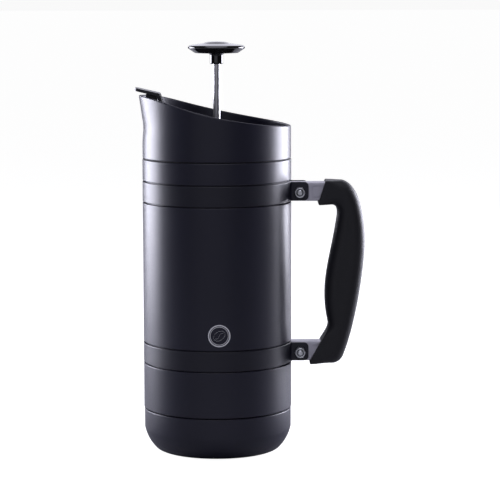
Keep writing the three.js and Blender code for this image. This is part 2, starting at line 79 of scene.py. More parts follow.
def roundCorners(corners, steps=5):
    # Each corner is (a, b) or (a, b, radius). A radius becomes an arc, with a support point on each
    # side where there is room, so that the flats beside it shade flat.
    made = []
    for i, corner in enumerate(corners):
        here = Vector(corner[:2])
        if len(corner) < 3:
            made.append(here)
            continue
        before = Vector(corners[i - 1][:2]) - here
        after = Vector(corners[(i + 1) % len(corners)][:2]) - here
        u, v = before.normalized(), after.normalized()
        half = u.angle(v) / 2
        reach = min(corner[2] / math.tan(half), before.length * 0.48, after.length * 0.48)
        radius = reach * math.tan(half)
        centre = here + (u + v).normalized() * (radius / math.sin(half))
        support = 0.3 * radius + 0.1
        start, stop = here + u * reach - centre, here + v * reach - centre
        turnBy = (stop.y * start.x - stop.x * start.y, stop.dot(start))
        sweep = math.atan2(*turnBy)
        first = math.atan2(start.y, start.x)
        if before.length / 2 > reach + support:
            made.append(here + u * (reach + support))
        for k in range(steps + 1):
            angle = first + sweep * k / steps
            made.append(centre + Vector((math.cos(angle), math.sin(angle))) * radius)
        if after.length / 2 > reach + support:
            made.append(here + v * (reach + support))
    return [tuple(p) for p in made]


def finishMesh(piece, sharpAngle=38):
    # Doubles merged, faces pointing out, and smooth shading up to the sharp edges.
    work = bmesh.new()
    work.from_mesh(piece.data)
    bmesh.ops.remove_doubles(work, verts=work.verts, dist=2e-7)
    bmesh.ops.recalc_face_normals(work, faces=work.faces)
    work.to_mesh(piece.data)
    work.free()
    piece.data.shade_smooth()
    piece.data.set_sharp_from_angle(angle=math.radians(sharpAngle))


def newPiece(name, points, faces):
    mesh = bpy.data.meshes.new(name)
    mesh.from_pydata([Vector(p) * mm for p in points], [], faces)
    piece = bpy.data.objects.new(name, mesh)
    bpy.context.scene.collection.objects.link(piece)
    finishMesh(piece)
    return piece


def turned(name, profile, segments=144):
    # A closed profile of (radius, height, corner radius) turned round the Z axis.
    line = roundCorners(profile)
    points, rings = [], []
    for radius, height in line:
        onAxis = abs(radius) < 1e-6
        count = 1 if onAxis else segments
        rings.append(list(range(len(points), len(points) + count)) * (segments if onAxis else 1))
        for i in range(count):
            angle = 2 * math.pi * i / segments
            points.append((radius * math.cos(angle), radius * math.sin(angle), height))
    faces = []
    for ring, above in zip(rings, rings[1:] + rings[:1]):
        for i in range(segments):
            j = (i + 1) % segments
            corners = list(dict.fromkeys([ring[i], ring[j], above[j], above[i]]))
            if len(corners) > 2:
                faces.append(corners)
    return newPiece(name, points, faces)


def lofted(name, sections):
    # Closed sections with equal counts, skinned in order, with both ends capped.
    count = len(sections[0])
    points = [p for section in sections for p in section]
    faces = [list(range(count)), list(range(len(points) - count, len(points)))]
    for start in range(0, len(points) - count, count):
        for i in range(count):
            j = (i + 1) % count
            faces.append([start + i, start + j, start + count + j, start + count + i])
    return newPiece(name, points, faces)


def prism(name, outline, low, high, upright=True):
    # An outline in the X-Z plane pushed along Y, or in the X-Y plane pushed along Z.
    if upright:
        return lofted(name, [[(a, y, b) for a, b in outline] for y in (low, high)])
    return lofted(name, [[(a, b, z) for a, b in outline] for z in (low, high)])


def crossBar(name, radius, x, z, low, high):
    return prism(name, arcPoints((x, z), radius, 0, 345, 23), low, high)


def settle(piece):
    # The piece with its modifiers becomes a plain mesh.
    bpy.context.view_layer.update()
    graph = bpy.context.evaluated_depsgraph_get()
    mesh = bpy.data.meshes.new_from_object(piece.evaluated_get(graph))
    piece.modifiers.clear()
    piece.data = mesh


def carve(piece, *tools, operation="DIFFERENCE"):
    for tool in tools:
        modifier = piece.modifiers.new("carve", "BOOLEAN")
        modifier.object = tool
        modifier.operation = operation
        modifier.solver = "EXACT"
        settle(piece)
        bpy.data.objects.remove(tool)
    finishMesh(piece)


def softenEdges(piece, width, angle=35, segments=3):
    # A small bevel on every edge sharper than the angle, with normals kept flat on the faces.
    bevel = piece.modifiers.new("edges", "BEVEL")
    bevel.width = width * mm
    bevel.segments = segments
    bevel.limit_method = "ANGLE"
    bevel.angle_limit = math.radians(angle)
    weighted = piece.modifiers.new("shading", "WEIGHTED_NORMAL")
    weighted.keep_sharp = True


def raiseMesh(mesh):
    mesh.transform(Matrix.Translation((0, 0, lift * mm)))


def place(piece, finish, slot, body, *nodes):
    raiseMesh(piece.data)
    piece.data.materials.clear()
    piece.data.materials.append(finish)
    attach(piece, body)
    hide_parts(*nodes)


# Node helpers.

def addNode(tree, kind, settings=None, inputs=None):
    # One node with its settings, and each input either linked or given a value.
    node = tree.nodes.new(kind)
    for name, value in (settings or {}).items():
        setattr(node, name, value)
    for name, value in (inputs or {}).items():
        if isinstance(value, bpy.types.NodeSocket):
            tree.links.new(value, node.inputs[name])
        else:
            node.inputs[name].default_value = value
    return node


def startTree(name, sockets):
    # A geometry tree with a Material input and the named inputs given as (kind, default).
    tree = bpy.data.node_groups.new(name, "GeometryNodeTree")
    tree.interface.new_socket("Geometry", in_out="INPUT", socket_type="NodeSocketGeometry")
    tree.interface.new_socket("Material", in_out="INPUT", socket_type="NodeSocketMaterial")
    for label, (kind, value) in sockets.items():
        socket = tree.interface.new_socket(label, in_out="INPUT", socket_type="NodeSocket" + kind)
        if value is not None:
            socket.default_value = value
    tree.interface.new_socket("Geometry", in_out="OUTPUT", socket_type="NodeSocketGeometry")
    return tree, addNode(tree, "NodeGroupInput").outputs


def endTree(tree, geometry, given):
    real = addNode(tree, "GeometryNodeRealizeInstances", inputs={"Geometry": geometry})
    done = addNode(tree, "GeometryNodeSetMaterial", inputs={
        "Geometry": real.outputs[0], "Material": given["Material"]})
    addNode(tree, "NodeGroupOutput", inputs={"Geometry": done.outputs[0]})


def runTree(piece, tree, values):
    # Runs a tree on a piece with its named inputs, and leaves a plain mesh.
    modifier = piece.modifiers.new(tree.name, "NODES")
    modifier.node_group = tree
    for item in tree.interface.items_tree:
        if item.in_out == "INPUT" and item.name in values:
            modifier[item.identifier] = values[item.name]
    settle(piece)
    finishMesh(piece)


# Finishes.

def paint(hexColour):
    # An sRGB hex colour as linear values.
    parts = [int(hexColour[i:i + 2], 16) / 255 for i in (1, 3, 5)]
    return [c / 12.92 if c <= 0.04045 else ((c + 0.055) / 1.055) ** 2.4 for c in parts] + [1]


def newFinish(name, colours, patch, roughness, grain, depth, stretch=(1, 1, 1), **shaderValues):
    # Colour drifts between two tones over patches, and a finer grain moves the roughness and the bump.
    # patch and grain are sizes in millimetres, and depth is the bump's height in millimetres.
    finish = bpy.data.materials.new(name)
    finish.use_nodes = True
    tree = finish.node_tree
    shader = tree.nodes["Principled BSDF"]
    for label, value in shaderValues.items():
        shader.inputs[label.replace("_", " ")].default_value = value
    where = addNode(tree, "ShaderNodeTexCoord").outputs["Object"]
    drawn = addNode(tree, "ShaderNodeMapping", inputs={"Vector": where, "Scale": stretch}).outputs[0]
    patches = addNode(tree, "ShaderNodeTexNoise", inputs={
        "Vector": where, "Scale": 1 / (patch * mm), "Detail": 4})
    grains = addNode(tree, "ShaderNodeTexNoise", inputs={
        "Vector": drawn, "Scale": 1 / (grain * mm), "Detail": 2})
    blend = addNode(tree, "ShaderNodeMixRGB", {"blend_type": "MIX"}, {
        0: patches.outputs[0], 1: paint(colours[0]), 2: paint(colours[1])})
    rough = addNode(tree, "ShaderNodeMapRange", inputs={
        "Value": grains.outputs[0], "From Min": 0.3, "From Max": 0.7,
        "To Min": roughness[0], "To Max": roughness[1]})
    bump = addNode(tree, "ShaderNodeBump", inputs={
        "Height": grains.outputs[0], "Distance": depth * mm, "Strength": 1})
    tree.links.new(blend.outputs[0], shader.inputs["Base Color"])
    tree.links.new(rough.outputs[0], shader.inputs["Roughness"])
    tree.links.new(bump.outputs[0], shader.inputs["Normal"])
    return finish


# Polyester powder baked on steel: a satin skin with faint orange peel, which spreads a highlight
# into a wide soft band. The peel's real waves are 0.5 mm, drawn at 1.1 mm so that they show.
powderCoat = newFinish("powder coat, baked satin", ("#151526", "#19192c"), 45, (0.33, 0.41), 1.1, 0.006,
                       IOR=1.5)
# The same colour sprayed on the bands, set a little darker as painted shade for the camera-facing ears, and
# flatter, with no peel to speak of.
bandPaintWithPaintedShade = newFinish("sprayed satin paint on steel, darkened as painted shade", ("#121220", "#161626"), 30, (0.35, 0.43), 0.8, 0.003,
                      IOR=1.5)
# Deep-drawn stainless, brushed round the bore: fine rings that stretch reflections up and down.
# Real scratches are 0.05 mm wide, drawn at 0.5 mm.
brushedSteel = newFinish("brushed stainless, deep drawn", ("#b9b9b7", "#cbcbca"), 30, (0.22, 0.36), 18, 0.004,
                         stretch=(1, 1, 36), Metallic=1)
# Centreless-ground stainless rod: near a mirror, with a haze of fine marks along it.
polishedSteel = newFinish("ground stainless rod", ("#c9c9cb", "#d6d6d8"), 12, (0.26, 0.36), 6, 0.0015,
                          stretch=(12, 12, 1), Metallic=1)
# Stainless sheet as stamped: duller than the rod, with a rolled skin.
stampedSteel = newFinish("stamped stainless sheet", ("#b4b4b3", "#c4c4c4"), 9, (0.28, 0.4), 1.2, 0.003,
                         Metallic=1)
# Bright zinc plate on the fasteners: cold grey with a patchy bloom.
zincPlate = newFinish("bright zinc plate", ("#e4e6ea", "#f2f3f6"), 2.5, (0.2, 0.34), 0.6, 0.003, Metallic=1)
# Die-cast lugs blasted with glass beads: an even, sparkling grey without streaks.
# The dimples are 0.1 mm, drawn at 0.5 mm.
blastedCasting = newFinish("bead-blasted die casting", ("#c4c2cd", "#d6d4dd"), 6, (0.38, 0.5), 0.5, 0.01,
                           Metallic=0.6)
# Soft-touch rubber moulded over the handle: almost no gloss, with a fine spark-eroded skin.
softTouch = newFinish("soft-touch moulded rubber", ("#0d0d13", "#121219"), 25, (0.46, 0.58), 0.7, 0.012,
                      IOR=1.5, Sheen_Weight=0.02, Sheen_Roughness=0.5)
# Compression-moulded phenolic, buffed: deep black with sharp reflections and a faint ripple.
buffedPhenolic = newFinish("buffed phenolic", ("#070709", "#0b0b0d"), 15, (0.06, 0.12), 3, 0.003,
                           IOR=1.6, Coat_Weight=0.3, Coat_Roughness=0.05)
# Polypropylene moulded in an etched tool: a fine leathery grain that breaks up its highlights.
grainedPlastic = newFinish("etch-grained polypropylene", ("#111113", "#18181b"), 20, (0.42, 0.55), 0.9, 0.02,
                           IOR=1.49)
# The flap comes from a finer tool: satin, catching a clear line on its edges.
satinPlastic = newFinish("satin polypropylene", ("#1c1c20", "#222227"), 14, (0.24, 0.32), 1.4, 0.003,
                         IOR=1.49)
# Moulded silicone: dull and slightly waxy.
siliconeRubber = newFinish("moulded silicone", ("#1a1a1c", "#222224"), 10, (0.5, 0.62), 0.8, 0.006,
                           IOR=1.41, Sheen_Weight=0.15)
nylonRing = newFinish("moulded nylon", ("#12131a", "#191b24"), 3, (0.4, 0.5), 0.5, 0.004, IOR=1.53)
# A blob of epoxy over the evacuation hole: glassy amber grey.
sealingResin = newFinish("cast epoxy", ("#5f5a50", "#746d5f"), 2, (0.12, 0.22), 1.2, 0.01, IOR=1.55)
# A laser takes the coat off in fine strokes, so the mark is bright steel with a hatched sheen.
# The strokes are 0.05 mm apart, drawn at 0.4 mm.
laserMark = newFinish("laser-etched steel", ("#ececf0", "#f8f8fa"), 3, (0.35, 0.5), 4, 0.004,
                      stretch=(1, 1, 10), Metallic=0.4)
print("finishes made")


# Camera.

# The camera stands in front of the brew face, a little above the knob, and looks slightly down.
# Distances are in body radii from the collar's seam.
cameraSetup = {"right": 0.4427, "back": 28.761, "above": 2.16834, "tiltDown": 6.777, "roll": -0.1295,
               "lens": 154.445, "sensor": 36}
shellLow, shellHigh = span("outer_shell")
bodyRadius = shellHigh.x
collarLow, collarHigh = span("spout_collar")
halfSeam = 0.4  # half of the dark line between two outer pieces


def addCamera(setup):
    data = bpy.data.cameras.new("camera")
    data.lens = setup["lens"]
    data.sensor_width = setup["sensor"]
    camera = bpy.data.objects.new("camera", data)
    bpy.context.scene.collection.objects.link(camera)
    camera.rotation_euler = (math.radians(90 - setup["tiltDown"]), 0, 0)
    camera.rotation_euler.rotate_axis("Z", math.radians(setup["roll"]))
    height = lift + collarLow.z - halfSeam + setup["above"] * bodyRadius
    camera.location = Vector((setup["right"] * bodyRadius, -setup["back"] * bodyRadius, height)) * mm
    bpy.context.scene.camera = camera


addCamera(cameraSetup)


# Vessel.

straps = {
    "upper": {"boltX": 58.9, "boltZ": 183.4},
    "lower": {"boltX": 59.2, "boltZ": 68.6},
}
for side in straps:
    low, high = span(side + "_strap")
    straps[side].update(low=low.z, high=high.z, earEnd=high.x)

shell = {"sheet": 0.8, "groove": 1.8, "edge": 0.55, "neck": 50.6, "spigot": 50, "spigotTip": 46.4,
         "spigotTaper": 14.9}


def bodyShell():
    # The outer line from the foot up, then the same line one sheet in on the way down.
    sheet, edge = shell["sheet"], shell["edge"]
    radius = bodyRadius - 0.05  # leaves room for the mark's own thickness
    floor = radius - shell["groove"]
    foot = span("base_cap")[1].z + 2 * halfSeam
    shoulder = collarLow.z - 2 * halfSeam
    outside = [(shell["spigotTip"], shellLow.z, 0.3), (shell["spigot"], shell["spigotTaper"], 2),
               (shell["spigot"], foot), (radius, foot, edge)]
    inside = [(shell["spigotTip"] - sheet, shellLow.z, 0.2),
              (shell["spigot"] - sheet, shell["spigotTaper"], 2),
              (shell["spigot"] - sheet, foot + sheet), (radius - sheet, foot + sheet)]
    for side in ("lower", "upper"):
        low, high = straps[side]["low"] - 2 * halfSeam, straps[side]["high"] + 2 * halfSeam
        outside += [(radius, low, edge), (floor, low, 0.3), (floor, high, 0.3), (radius, high, edge)]
        inside += [(radius - sheet, low - sheet), (floor - sheet, low - sheet),
                   (floor - sheet, high + sheet), (radius - sheet, high + sheet)]
    outside += [(radius, shoulder, edge), (shell["neck"], shoulder), (shell["neck"], shellHigh.z, 0.2)]
    inside += [(radius - sheet, shoulder - sheet), (shell["neck"] - sheet, shoulder - sheet),
               (shell["neck"] - sheet, shellHigh.z, 0.2)]
    return turned("bodyShell", outside + inside[::-1], 192)


place(bodyShell(), powderCoat, "powder_coat", "vessel", "outer_shell")

# The side curves in through the bulge to the knee, and through the toe to the foot.
baseCup = {"foot": 41.6, "toe": (44.2, -1.1), "knee": (45.4, 0.5), "bulge": (50.9, 6.3), "taperTop": 14.5,
           "recess": 0.7, "recessRadius": 39.4, "bore": 50.3, "floorRadius": 46.4, "floor": 4.9, "edge": 0.5}


def baseCap():
    low, high = span("base_cap")
    size = baseCup
    foot = curvePoints([(size["foot"], low.z), size["toe"], size["knee"]], 6)
    side = curvePoints([size["knee"], size["bulge"], (high.x, size["taperTop"])], 12)
    profile = [(0, size["recess"]), (size["recessRadius"], size["recess"]),
               (size["recessRadius"], low.z, 0.3), (size["foot"], low.z), *foot, *side,
               (high.x, high.z, size["edge"]), (size["bore"], high.z, 0.2), (size["bore"], size["taperTop"]),
               (size["floorRadius"], size["floor"]), (0, size["floor"])]
    return turned("baseCap", profile, 192)


place(baseCap(), powderCoat, "powder_coat", "vessel", "base_cap")

footRings = {"count": 5, "first": 6, "pitch": 7, "width": 2.2, "depth": 0.7, "edge": 0.8}


def footPad():
    # Shallow rings on the underside grip the table.
    low, high = span("foot_pad")
    profile = [(0, low.z)]
    for i in range(footRings["count"]):
        start = footRings["first"] + i * footRings["pitch"]
        stop = start + footRings["width"]
        profile += [(start, low.z, 0.2), (start, low.z + footRings["depth"], 0.2),
                    (stop, low.z + footRings["depth"], 0.2), (stop, low.z, 0.2)]
    profile += [(high.x, low.z, footRings["edge"]), (high.x, high.z, 0.2), (0, high.z)]
    return turned("footPad", profile)


place(footPad(), siliconeRubber, "silicone", "vessel", "foot_pad")

liner = {"bore": 48, "sheet": 0.6, "corner": 7}


def innerLiner():
    low, high = span("inner_liner")
    bore, sheet, corner = liner["bore"], liner["sheet"], liner["corner"]
    return turned("linerCup", [
        (0, low.z), (bore + sheet, low.z, corner + sheet), (bore + sheet, high.z - sheet, 0.2),
        (high.x, high.z - sheet, 0.1), (high.x, high.z, 0.3), (bore, high.z, 0.5),
        (bore, low.z + sheet, corner), (0, low.z + sheet)], 160)


place(innerLiner(), brushedSteel, "brushed_steel", "vessel", "inner_liner")


plate = {"hole": 1.5, "dishOutside": 6, "dishInside": 4.6, "dish": 0.25}
plug = {"stem": 1.2, "cap": 0.8, "crown": 2.2}
gasket = {"bore": 51}


def shellBottom():
    low, high = span("shell_bottom")
    hole, dished = plate["hole"], high.z - plate["dish"]
    return turned("shellBottom", [
        (hole, low.z, 0.1), (high.x, low.z, 0.2), (high.x, high.z, 0.2), (plate["dishOutside"], high.z, 1),
        (plate["dishInside"], dished, 1), (hole, dished, 0.1)])


def vacuumPlug():
    low, high = span("vacuum_plug")
    return turned("vacuumPlug", [
        (0, low.z), (plug["stem"], low.z, 0.2), (plug["stem"], high.z - plug["cap"]),
        (high.x, high.z - plug["cap"], 0.3), (plug["crown"], high.z, 1.2), (0, high.z)], 48)


def collarGasket():
    low, high = span("collar_gasket")
    return turned("collarGasket", [
        (gasket["bore"], low.z, 0.1), (high.x, low.z, 0.15), (high.x, high.z, 0.15),
        (gasket["bore"], high.z, 0.1)])


place(shellBottom(), brushedSteel, "brushed_steel", "vessel", "shell_bottom")
place(vacuumPlug(), sealingResin, "resin", "vessel", "vacuum_plug")
place(collarGasket(), siliconeRubber, "silicone", "vessel", "collar_gasket")
print("vessel made")


# Spout collar.

# The rim seen from the side is one S curve, high at the spout and low at the handle.
rimLine = [(-60, 253), (-29.6, 250.8), (-24, 239), (56, 230.3)]
rimCurve = {"left": -60, "right": 56, "low": 225, "high": 260}
# The spout leans out near the lip, with a slight waist below it.
flareCurve = {"start": 233, "height": 20, "reach": 2.6, "power": 1.3, "waist": 0.7, "waistAt": 229,
              "waistSpread": 6, "low": 205, "high": 258, "least": -1, "most": 3}
collar = {"bore": 50.9, "blank": 258, "lip": 0.85, "rings": 26, "edge": 0.55, "narrow": 10}


def flareAt(height):
    shape = flareCurve
    lean = shape["reach"] * min(max((height - shape["start"]) / shape["height"], 0), 1) ** shape["power"]
    return lean - shape["waist"] * math.exp(-((height - shape["waistAt"]) / shape["waistSpread"]) ** 2)


def drawCurve(node, points):
    # Puts points, already scaled to 0..1, on a Float Curve.
    curve = node.mapping.curves[0]
    for i, (a, b) in enumerate(points):
        if i < 2:
            curve.points[i].location = (a, b)
        else:
            curve.points.new(a, b)
    node.mapping.update()


def slantTree():
    # Moves the top of a straight turned blank to the rim line, and leans the spout out.
    tree, given = startTree("slantToRim", {
        "Fixed below": ("Float", 0.0), "Moved above": ("Float", 0.1), "Blank top": ("Float", 0.258),
        "Drop": ("Float", 0.0), "Middle radius": ("Float", 0.0), "Narrowness": ("Float", 10.0),
        "Spout lean": ("Float", 1.0)})
    position = addNode(tree, "GeometryNodeInputPosition").outputs[0]
    parts = addNode(tree, "ShaderNodeSeparateXYZ", inputs={0: position}).outputs
    ranges, flare = rimCurve, flareCurve
    across = addNode(tree, "ShaderNodeMapRange", inputs={
        "Value": parts["X"], "From Min": ranges["left"] * mm, "From Max": ranges["right"] * mm})
    rim = addNode(tree, "ShaderNodeFloatCurve", inputs={"Value": across.outputs[0]})
    width, rise = ranges["right"] - ranges["left"], ranges["high"] - ranges["low"]
    drawCurve(rim, [((x - ranges["left"]) / width, (z - ranges["low"]) / rise)
                    for x, z in [rimLine[0]] + curvePoints(rimLine, 12)])
    rimHeight = addNode(tree, "ShaderNodeMapRange", inputs={
        "Value": rim.outputs[0], "To Min": ranges["low"] * mm, "To Max": ranges["high"] * mm})
    weight = addNode(tree, "ShaderNodeMapRange", inputs={
        "Value": parts["Z"], "From Min": given["Fixed below"], "From Max": given["Moved above"]})
    values = {"x": parts["X"], "y": parts["Y"], "z": parts["Z"], "rim": rimHeight.outputs[0],
              "weight": weight.outputs[0], "blankTop": given["Blank top"], "drop": given["Drop"]}
    for name, operation, first, second in [
            ("lowered", "SUBTRACT", "rim", "drop"), ("shift", "SUBTRACT", "lowered", "blankTop"),
            ("moved", "MULTIPLY", "shift", "weight"), ("height", "ADD", "z", "moved")]:
        values[name] = addNode(tree, "ShaderNodeMath", {"operation": operation}, {
            0: values[first], 1: values[second]}).outputs[0]
    along = addNode(tree, "ShaderNodeMapRange", inputs={
        "Value": values["height"], "From Min": flare["low"] * mm, "From Max": flare["high"] * mm})
    lean = addNode(tree, "ShaderNodeFloatCurve", inputs={"Value": along.outputs[0]})
    count = 14
    tall, wide = flare["high"] - flare["low"], flare["most"] - flare["least"]
    drawCurve(lean, [(i / count, (flareAt(flare["low"] + tall * i / count) - flare["least"]) / wide)
                     for i in range(count + 1)])
    leaning = addNode(tree, "ShaderNodeMapRange", inputs={
        "Value": lean.outputs[0], "To Min": flare["least"] * mm, "To Max": flare["most"] * mm})
    values.update(lean=leaning.outputs[0], middle=given["Middle radius"], narrow=given["Narrowness"],
                  amount=given["Spout lean"], zero=0.0, one=1.0, minus=-1.0)
    for name, operation, first, second in [
            ("xx", "MULTIPLY", "x", "x"), ("yy", "MULTIPLY", "y", "y"), ("rr", "ADD", "xx", "yy"),
            ("r", "SQRT", "rr", "zero"), ("isInside", "LESS_THAN", "r", "middle"),
            ("pushed", "MAXIMUM", "lean", "zero"), ("extra", "SUBTRACT", "pushed", "lean"),
            ("extraInside", "MULTIPLY", "extra", "isInside"), ("wall", "ADD", "lean", "extraInside"),
            ("cosine", "DIVIDE", "x", "r"), ("left", "MULTIPLY", "cosine", "minus"),
            ("facing", "MAXIMUM", "left", "zero"), ("falloff", "POWER", "facing", "narrow"),
            ("most", "MULTIPLY", "wall", "falloff"), ("reach", "MULTIPLY", "most", "amount"),
            ("ratio", "DIVIDE", "reach", "r"),
            ("stretch", "ADD", "ratio", "one"), ("newX", "MULTIPLY", "x", "stretch"),
            ("newY", "MULTIPLY", "y", "stretch")]:
        values[name] = addNode(tree, "ShaderNodeMath", {"operation": operation}, {
            0: values[first], 1: values[second]}).outputs[0]
    target = addNode(tree, "ShaderNodeCombineXYZ", inputs={
        "X": values["newX"], "Y": values["newY"], "Z": values["height"]})
    moved = addNode(tree, "GeometryNodeSetPosition", inputs={
        "Geometry": given["Geometry"], "Position": target.outputs[0]})
    endTree(tree, moved.outputs[0], given)
    return tree


slantToRim = slantTree()


def spoutCollar():
    top, count, low = collar["blank"], collar["rings"], collarLow.z
    radius = bodyRadius - 0.2
    rings = [low + 2 + (top - low - 4) * i / count for i in range(count + 1)]
    blank = turned("spoutCollar", [
        (collar["bore"], low, 0.2), (radius, low, collar["edge"]), *[(radius, z) for z in rings],
        (radius, top, collar["lip"]), (collar["bore"], top, collar["lip"]),
        *[(collar["bore"], z) for z in rings[::-1]]], 224)
    runTree(blank, slantToRim, {
        "Material": powderCoat, "Fixed below": low * mm, "Moved above": (top - 1) * mm, "Blank top": top * mm,
        "Middle radius": (radius + collar["bore"]) / 2 * mm, "Narrowness": float(collar["narrow"])})
    return blank


place(spoutCollar(), powderCoat, "powder_coat", "vessel", "spout_collar")
print("collar made")


# Mark.

# A generic mark on the brew face: a coffee bean in a double ring.
mark = {"centreX": 2, "centreZ": 87.4, "outerRing": 7.4, "innerRing": 6.3, "thick": 0.8, "thin": 0.35,
        "beanLong": 4.4, "beanShort": 3, "beanTilt": 35, "step": 0.4}


def markTree():
    # Strokes along the object's own curves, wrapped on the body's round face. The rings lie flat. The bean
    # and its crease stand on edge, about 0.4 mm proud, because their curves start off the vertical.
    tree, given = startTree("strokesOnBody", {
        "Body radius": ("Float", 0.053), "Stroke width": ("Float", 0.0005), "Step": ("Float", 0.0004),
        "Thickness": ("Float", 0.00006)})
    spaced = addNode(tree, "GeometryNodeResampleCurve", {"mode": "LENGTH"}, {
        "Curve": given["Geometry"], "Length": given["Step"]})
    profile = addNode(tree, "GeometryNodeCurvePrimitiveQuadrilateral", inputs={
        "Width": given["Stroke width"], "Height": given["Thickness"]})
    strokes = addNode(tree, "GeometryNodeCurveToMesh", inputs={
        "Curve": spaced.outputs[0], "Profile Curve": profile.outputs[0], "Fill Caps": True})
    position = addNode(tree, "GeometryNodeInputPosition").outputs[0]
    parts = addNode(tree, "ShaderNodeSeparateXYZ", inputs={0: position}).outputs
    values = {"x": parts["X"], "z": parts["Z"], "bodyRadius": given["Body radius"], "proud": parts["Y"],
              "minus": -1.0}
    for name, operation, first, second in [
            ("angle", "DIVIDE", "x", "bodyRadius"), ("radius", "SUBTRACT", "bodyRadius", "proud"),
            ("sine", "SINE", "angle", "minus"), ("cosine", "COSINE", "angle", "minus"),
            ("newX", "MULTIPLY", "radius", "sine"), ("depth", "MULTIPLY", "radius", "cosine"),
            ("newY", "MULTIPLY", "depth", "minus")]:
        values[name] = addNode(tree, "ShaderNodeMath", {"operation": operation}, {
            0: values[first], 1: values[second]}).outputs[0]
    target = addNode(tree, "ShaderNodeCombineXYZ", inputs={
        "X": values["newX"], "Y": values["newY"], "Z": values["z"]})
    wrapped = addNode(tree, "GeometryNodeSetPosition", inputs={
        "Geometry": strokes.outputs[0], "Position": target.outputs[0]})
    endTree(tree, wrapped.outputs[0], given)
    return tree


strokesOnBody = markTree()


def strokes(name, lines, width, isClosed):
    # Poly curves in the X-Z plane, moved to the mark's centre and run through the tree.
    data = bpy.data.curves.new(name, "CURVE")
    data.dimensions = "3D"
    for line in lines:
        spline = data.splines.new("POLY")
        spline.points.add(len(line) - 1)
        for point, (a, b) in zip(spline.points, line):
            point.co = ((mark["centreX"] + a) * mm, 0, (mark["centreZ"] + b) * mm, 1)
        spline.use_cyclic_u = isClosed
    drawn = bpy.data.objects.new(name + "Line", data)
    bpy.context.scene.collection.objects.link(drawn)
    modifier = drawn.modifiers.new("strokes", "NODES")
    modifier.node_group = strokesOnBody
    values = {"Material": laserMark, "Body radius": (bodyRadius - 0.035) * mm, "Stroke width": width * mm,
              "Step": mark["step"] * mm}
    for item in strokesOnBody.interface.items_tree:
        if item.in_out == "INPUT" and item.name in values:
            modifier[item.identifier] = values[item.name]
    bpy.context.view_layer.update()
    graph = bpy.context.evaluated_depsgraph_get()
    mesh = bpy.data.meshes.new_from_object(drawn.evaluated_get(graph))
    bpy.data.objects.remove(drawn)
    raiseMesh(mesh)
    piece = bpy.data.objects.new(name, mesh)
    bpy.context.scene.collection.objects.link(piece)
    finishMesh(piece)
    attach(piece, "vessel")


def beanPoint(along, across):
    # A point of the bean, turned by its tilt.
    tilt = math.radians(mark["beanTilt"])
    sine, cosine = math.sin(tilt), math.cos(tilt)
    return along * cosine - across * sine, along * sine + across * cosine


def bodyMark():
    rings = [arcPoints((0, 0), radius, 0, 354, 59) for radius in (mark["outerRing"], mark["innerRing"])]
    strokes("markOuterRing", rings[:1], mark["thick"], True)
    strokes("markInnerRing", rings[1:], mark["thin"], True)
    turns = [2 * math.pi * i / 48 for i in range(48)]
    bean = [beanPoint(mark["beanLong"] * math.cos(t), mark["beanShort"] * math.sin(t)) for t in turns]
    strokes("markBean", [bean], mark["thick"], True)
    reach = mark["beanLong"] - 1
    crease = [beanPoint(reach * i / 12, 0.75 * math.sin(math.pi * i / 12)) for i in range(-12, 13)]
    strokes("markCrease", [crease], mark["thick"], False)


bodyMark()
print("mark made")


# Clamp straps.

clamp = {"thickness": 1.5, "lugGap": 6.3, "bend": 1.6, "earCorner": 3.2, "earTrim": 0.4, "edge": 0.4,
         "boltHole": 2.3}


def strapStations(strap):
    # From an ear's tip to the point opposite: (x, y), outward direction, trim and half thickness.
    half = clamp["thickness"] / 2
    middle = clamp["lugGap"] + half
    corner, trim, tip = clamp["earCorner"], clamp["earTrim"], strap["earEnd"]
    stations = [((tip, middle), (0, 1), trim + corner, half - 0.35)]
    for angle in (80, 65, 50, 35, 20, 0):
        a = math.radians(angle)
        stations.append(((tip - corner * (1 - math.sin(a)) - 0.05, middle), (0, 1),
                         trim + corner * (1 - math.cos(a)), half))
    bendY = clamp["lugGap"] + clamp["thickness"] + clamp["bend"]
    bendX = math.sqrt((bodyRadius + clamp["bend"]) ** 2 - bendY ** 2)
    stations.append(((bendX + 2, middle), (0, 1), trim, half))
    meet = math.degrees(math.atan2(bendY, bendX))
    count = 8
    for i in range(count + 1):
        angle = math.radians(-90 + (meet - 90) * i / count)
        away = Vector((math.cos(angle), math.sin(angle)))
        point = Vector((bendX, bendY)) + away * (clamp["bend"] + half)
        stations.append((tuple(point), tuple(-away), trim * (1 - i / count), half))
    around = 84
    for i in range(1, around + 1):
        angle = math.radians(meet + (180 - meet) * i / around)
        away = Vector((math.cos(angle), math.sin(angle)))
        stations.append((tuple(away * (bodyRadius - half)), tuple(away), 0, half))
    mirrored = [((x, -y), (u, -v), cut, thick) for (x, y), (u, v), cut, thick in stations[-2::-1]]
    return stations + mirrored


def clampStrap(side):
    strap = straps[side]
    sections = []
    for (x, y), (u, v), trim, half in strapStations(strap):
        low, high = strap["low"] + trim, strap["high"] - trim
        full, edge = clamp["thickness"] / 2, clamp["edge"]
        flat = roundCorners([(-full, low, edge), (full, low, edge), (full, high, edge),
                             (-full, high, edge)], 3)
        thin = half / full
        sections.append([(x + u * out * thin, y + v * out * thin, z) for out, z in flat])
    band = lofted(side + "StrapBand", sections)
    carve(band, crossBar("hole", clamp["boltHole"], strap["boltX"], strap["boltZ"], -20, 20))
    return band


# The bands take the paint whose darker tone is painted shade.
for side in straps:
    place(clampStrap(side), bandPaintWithPaintedShade, "strap_coat", "vessel", side + "_strap")
print("straps made")


# Fasteners.

# The same set at each strap: a button-head bolt, a locking nut and its nylon ring.
fastener = {"radius": 2, "head": 3.8, "headHeight": 2.4, "tip": 13.5, "flats": 7, "nutHeight": 5,
            "nutCollar": 3.45, "insert": 2.75, "socket": 1.25, "socketDepth": 1.3}
earFace = clamp["lugGap"] + clamp["thickness"] + sliding


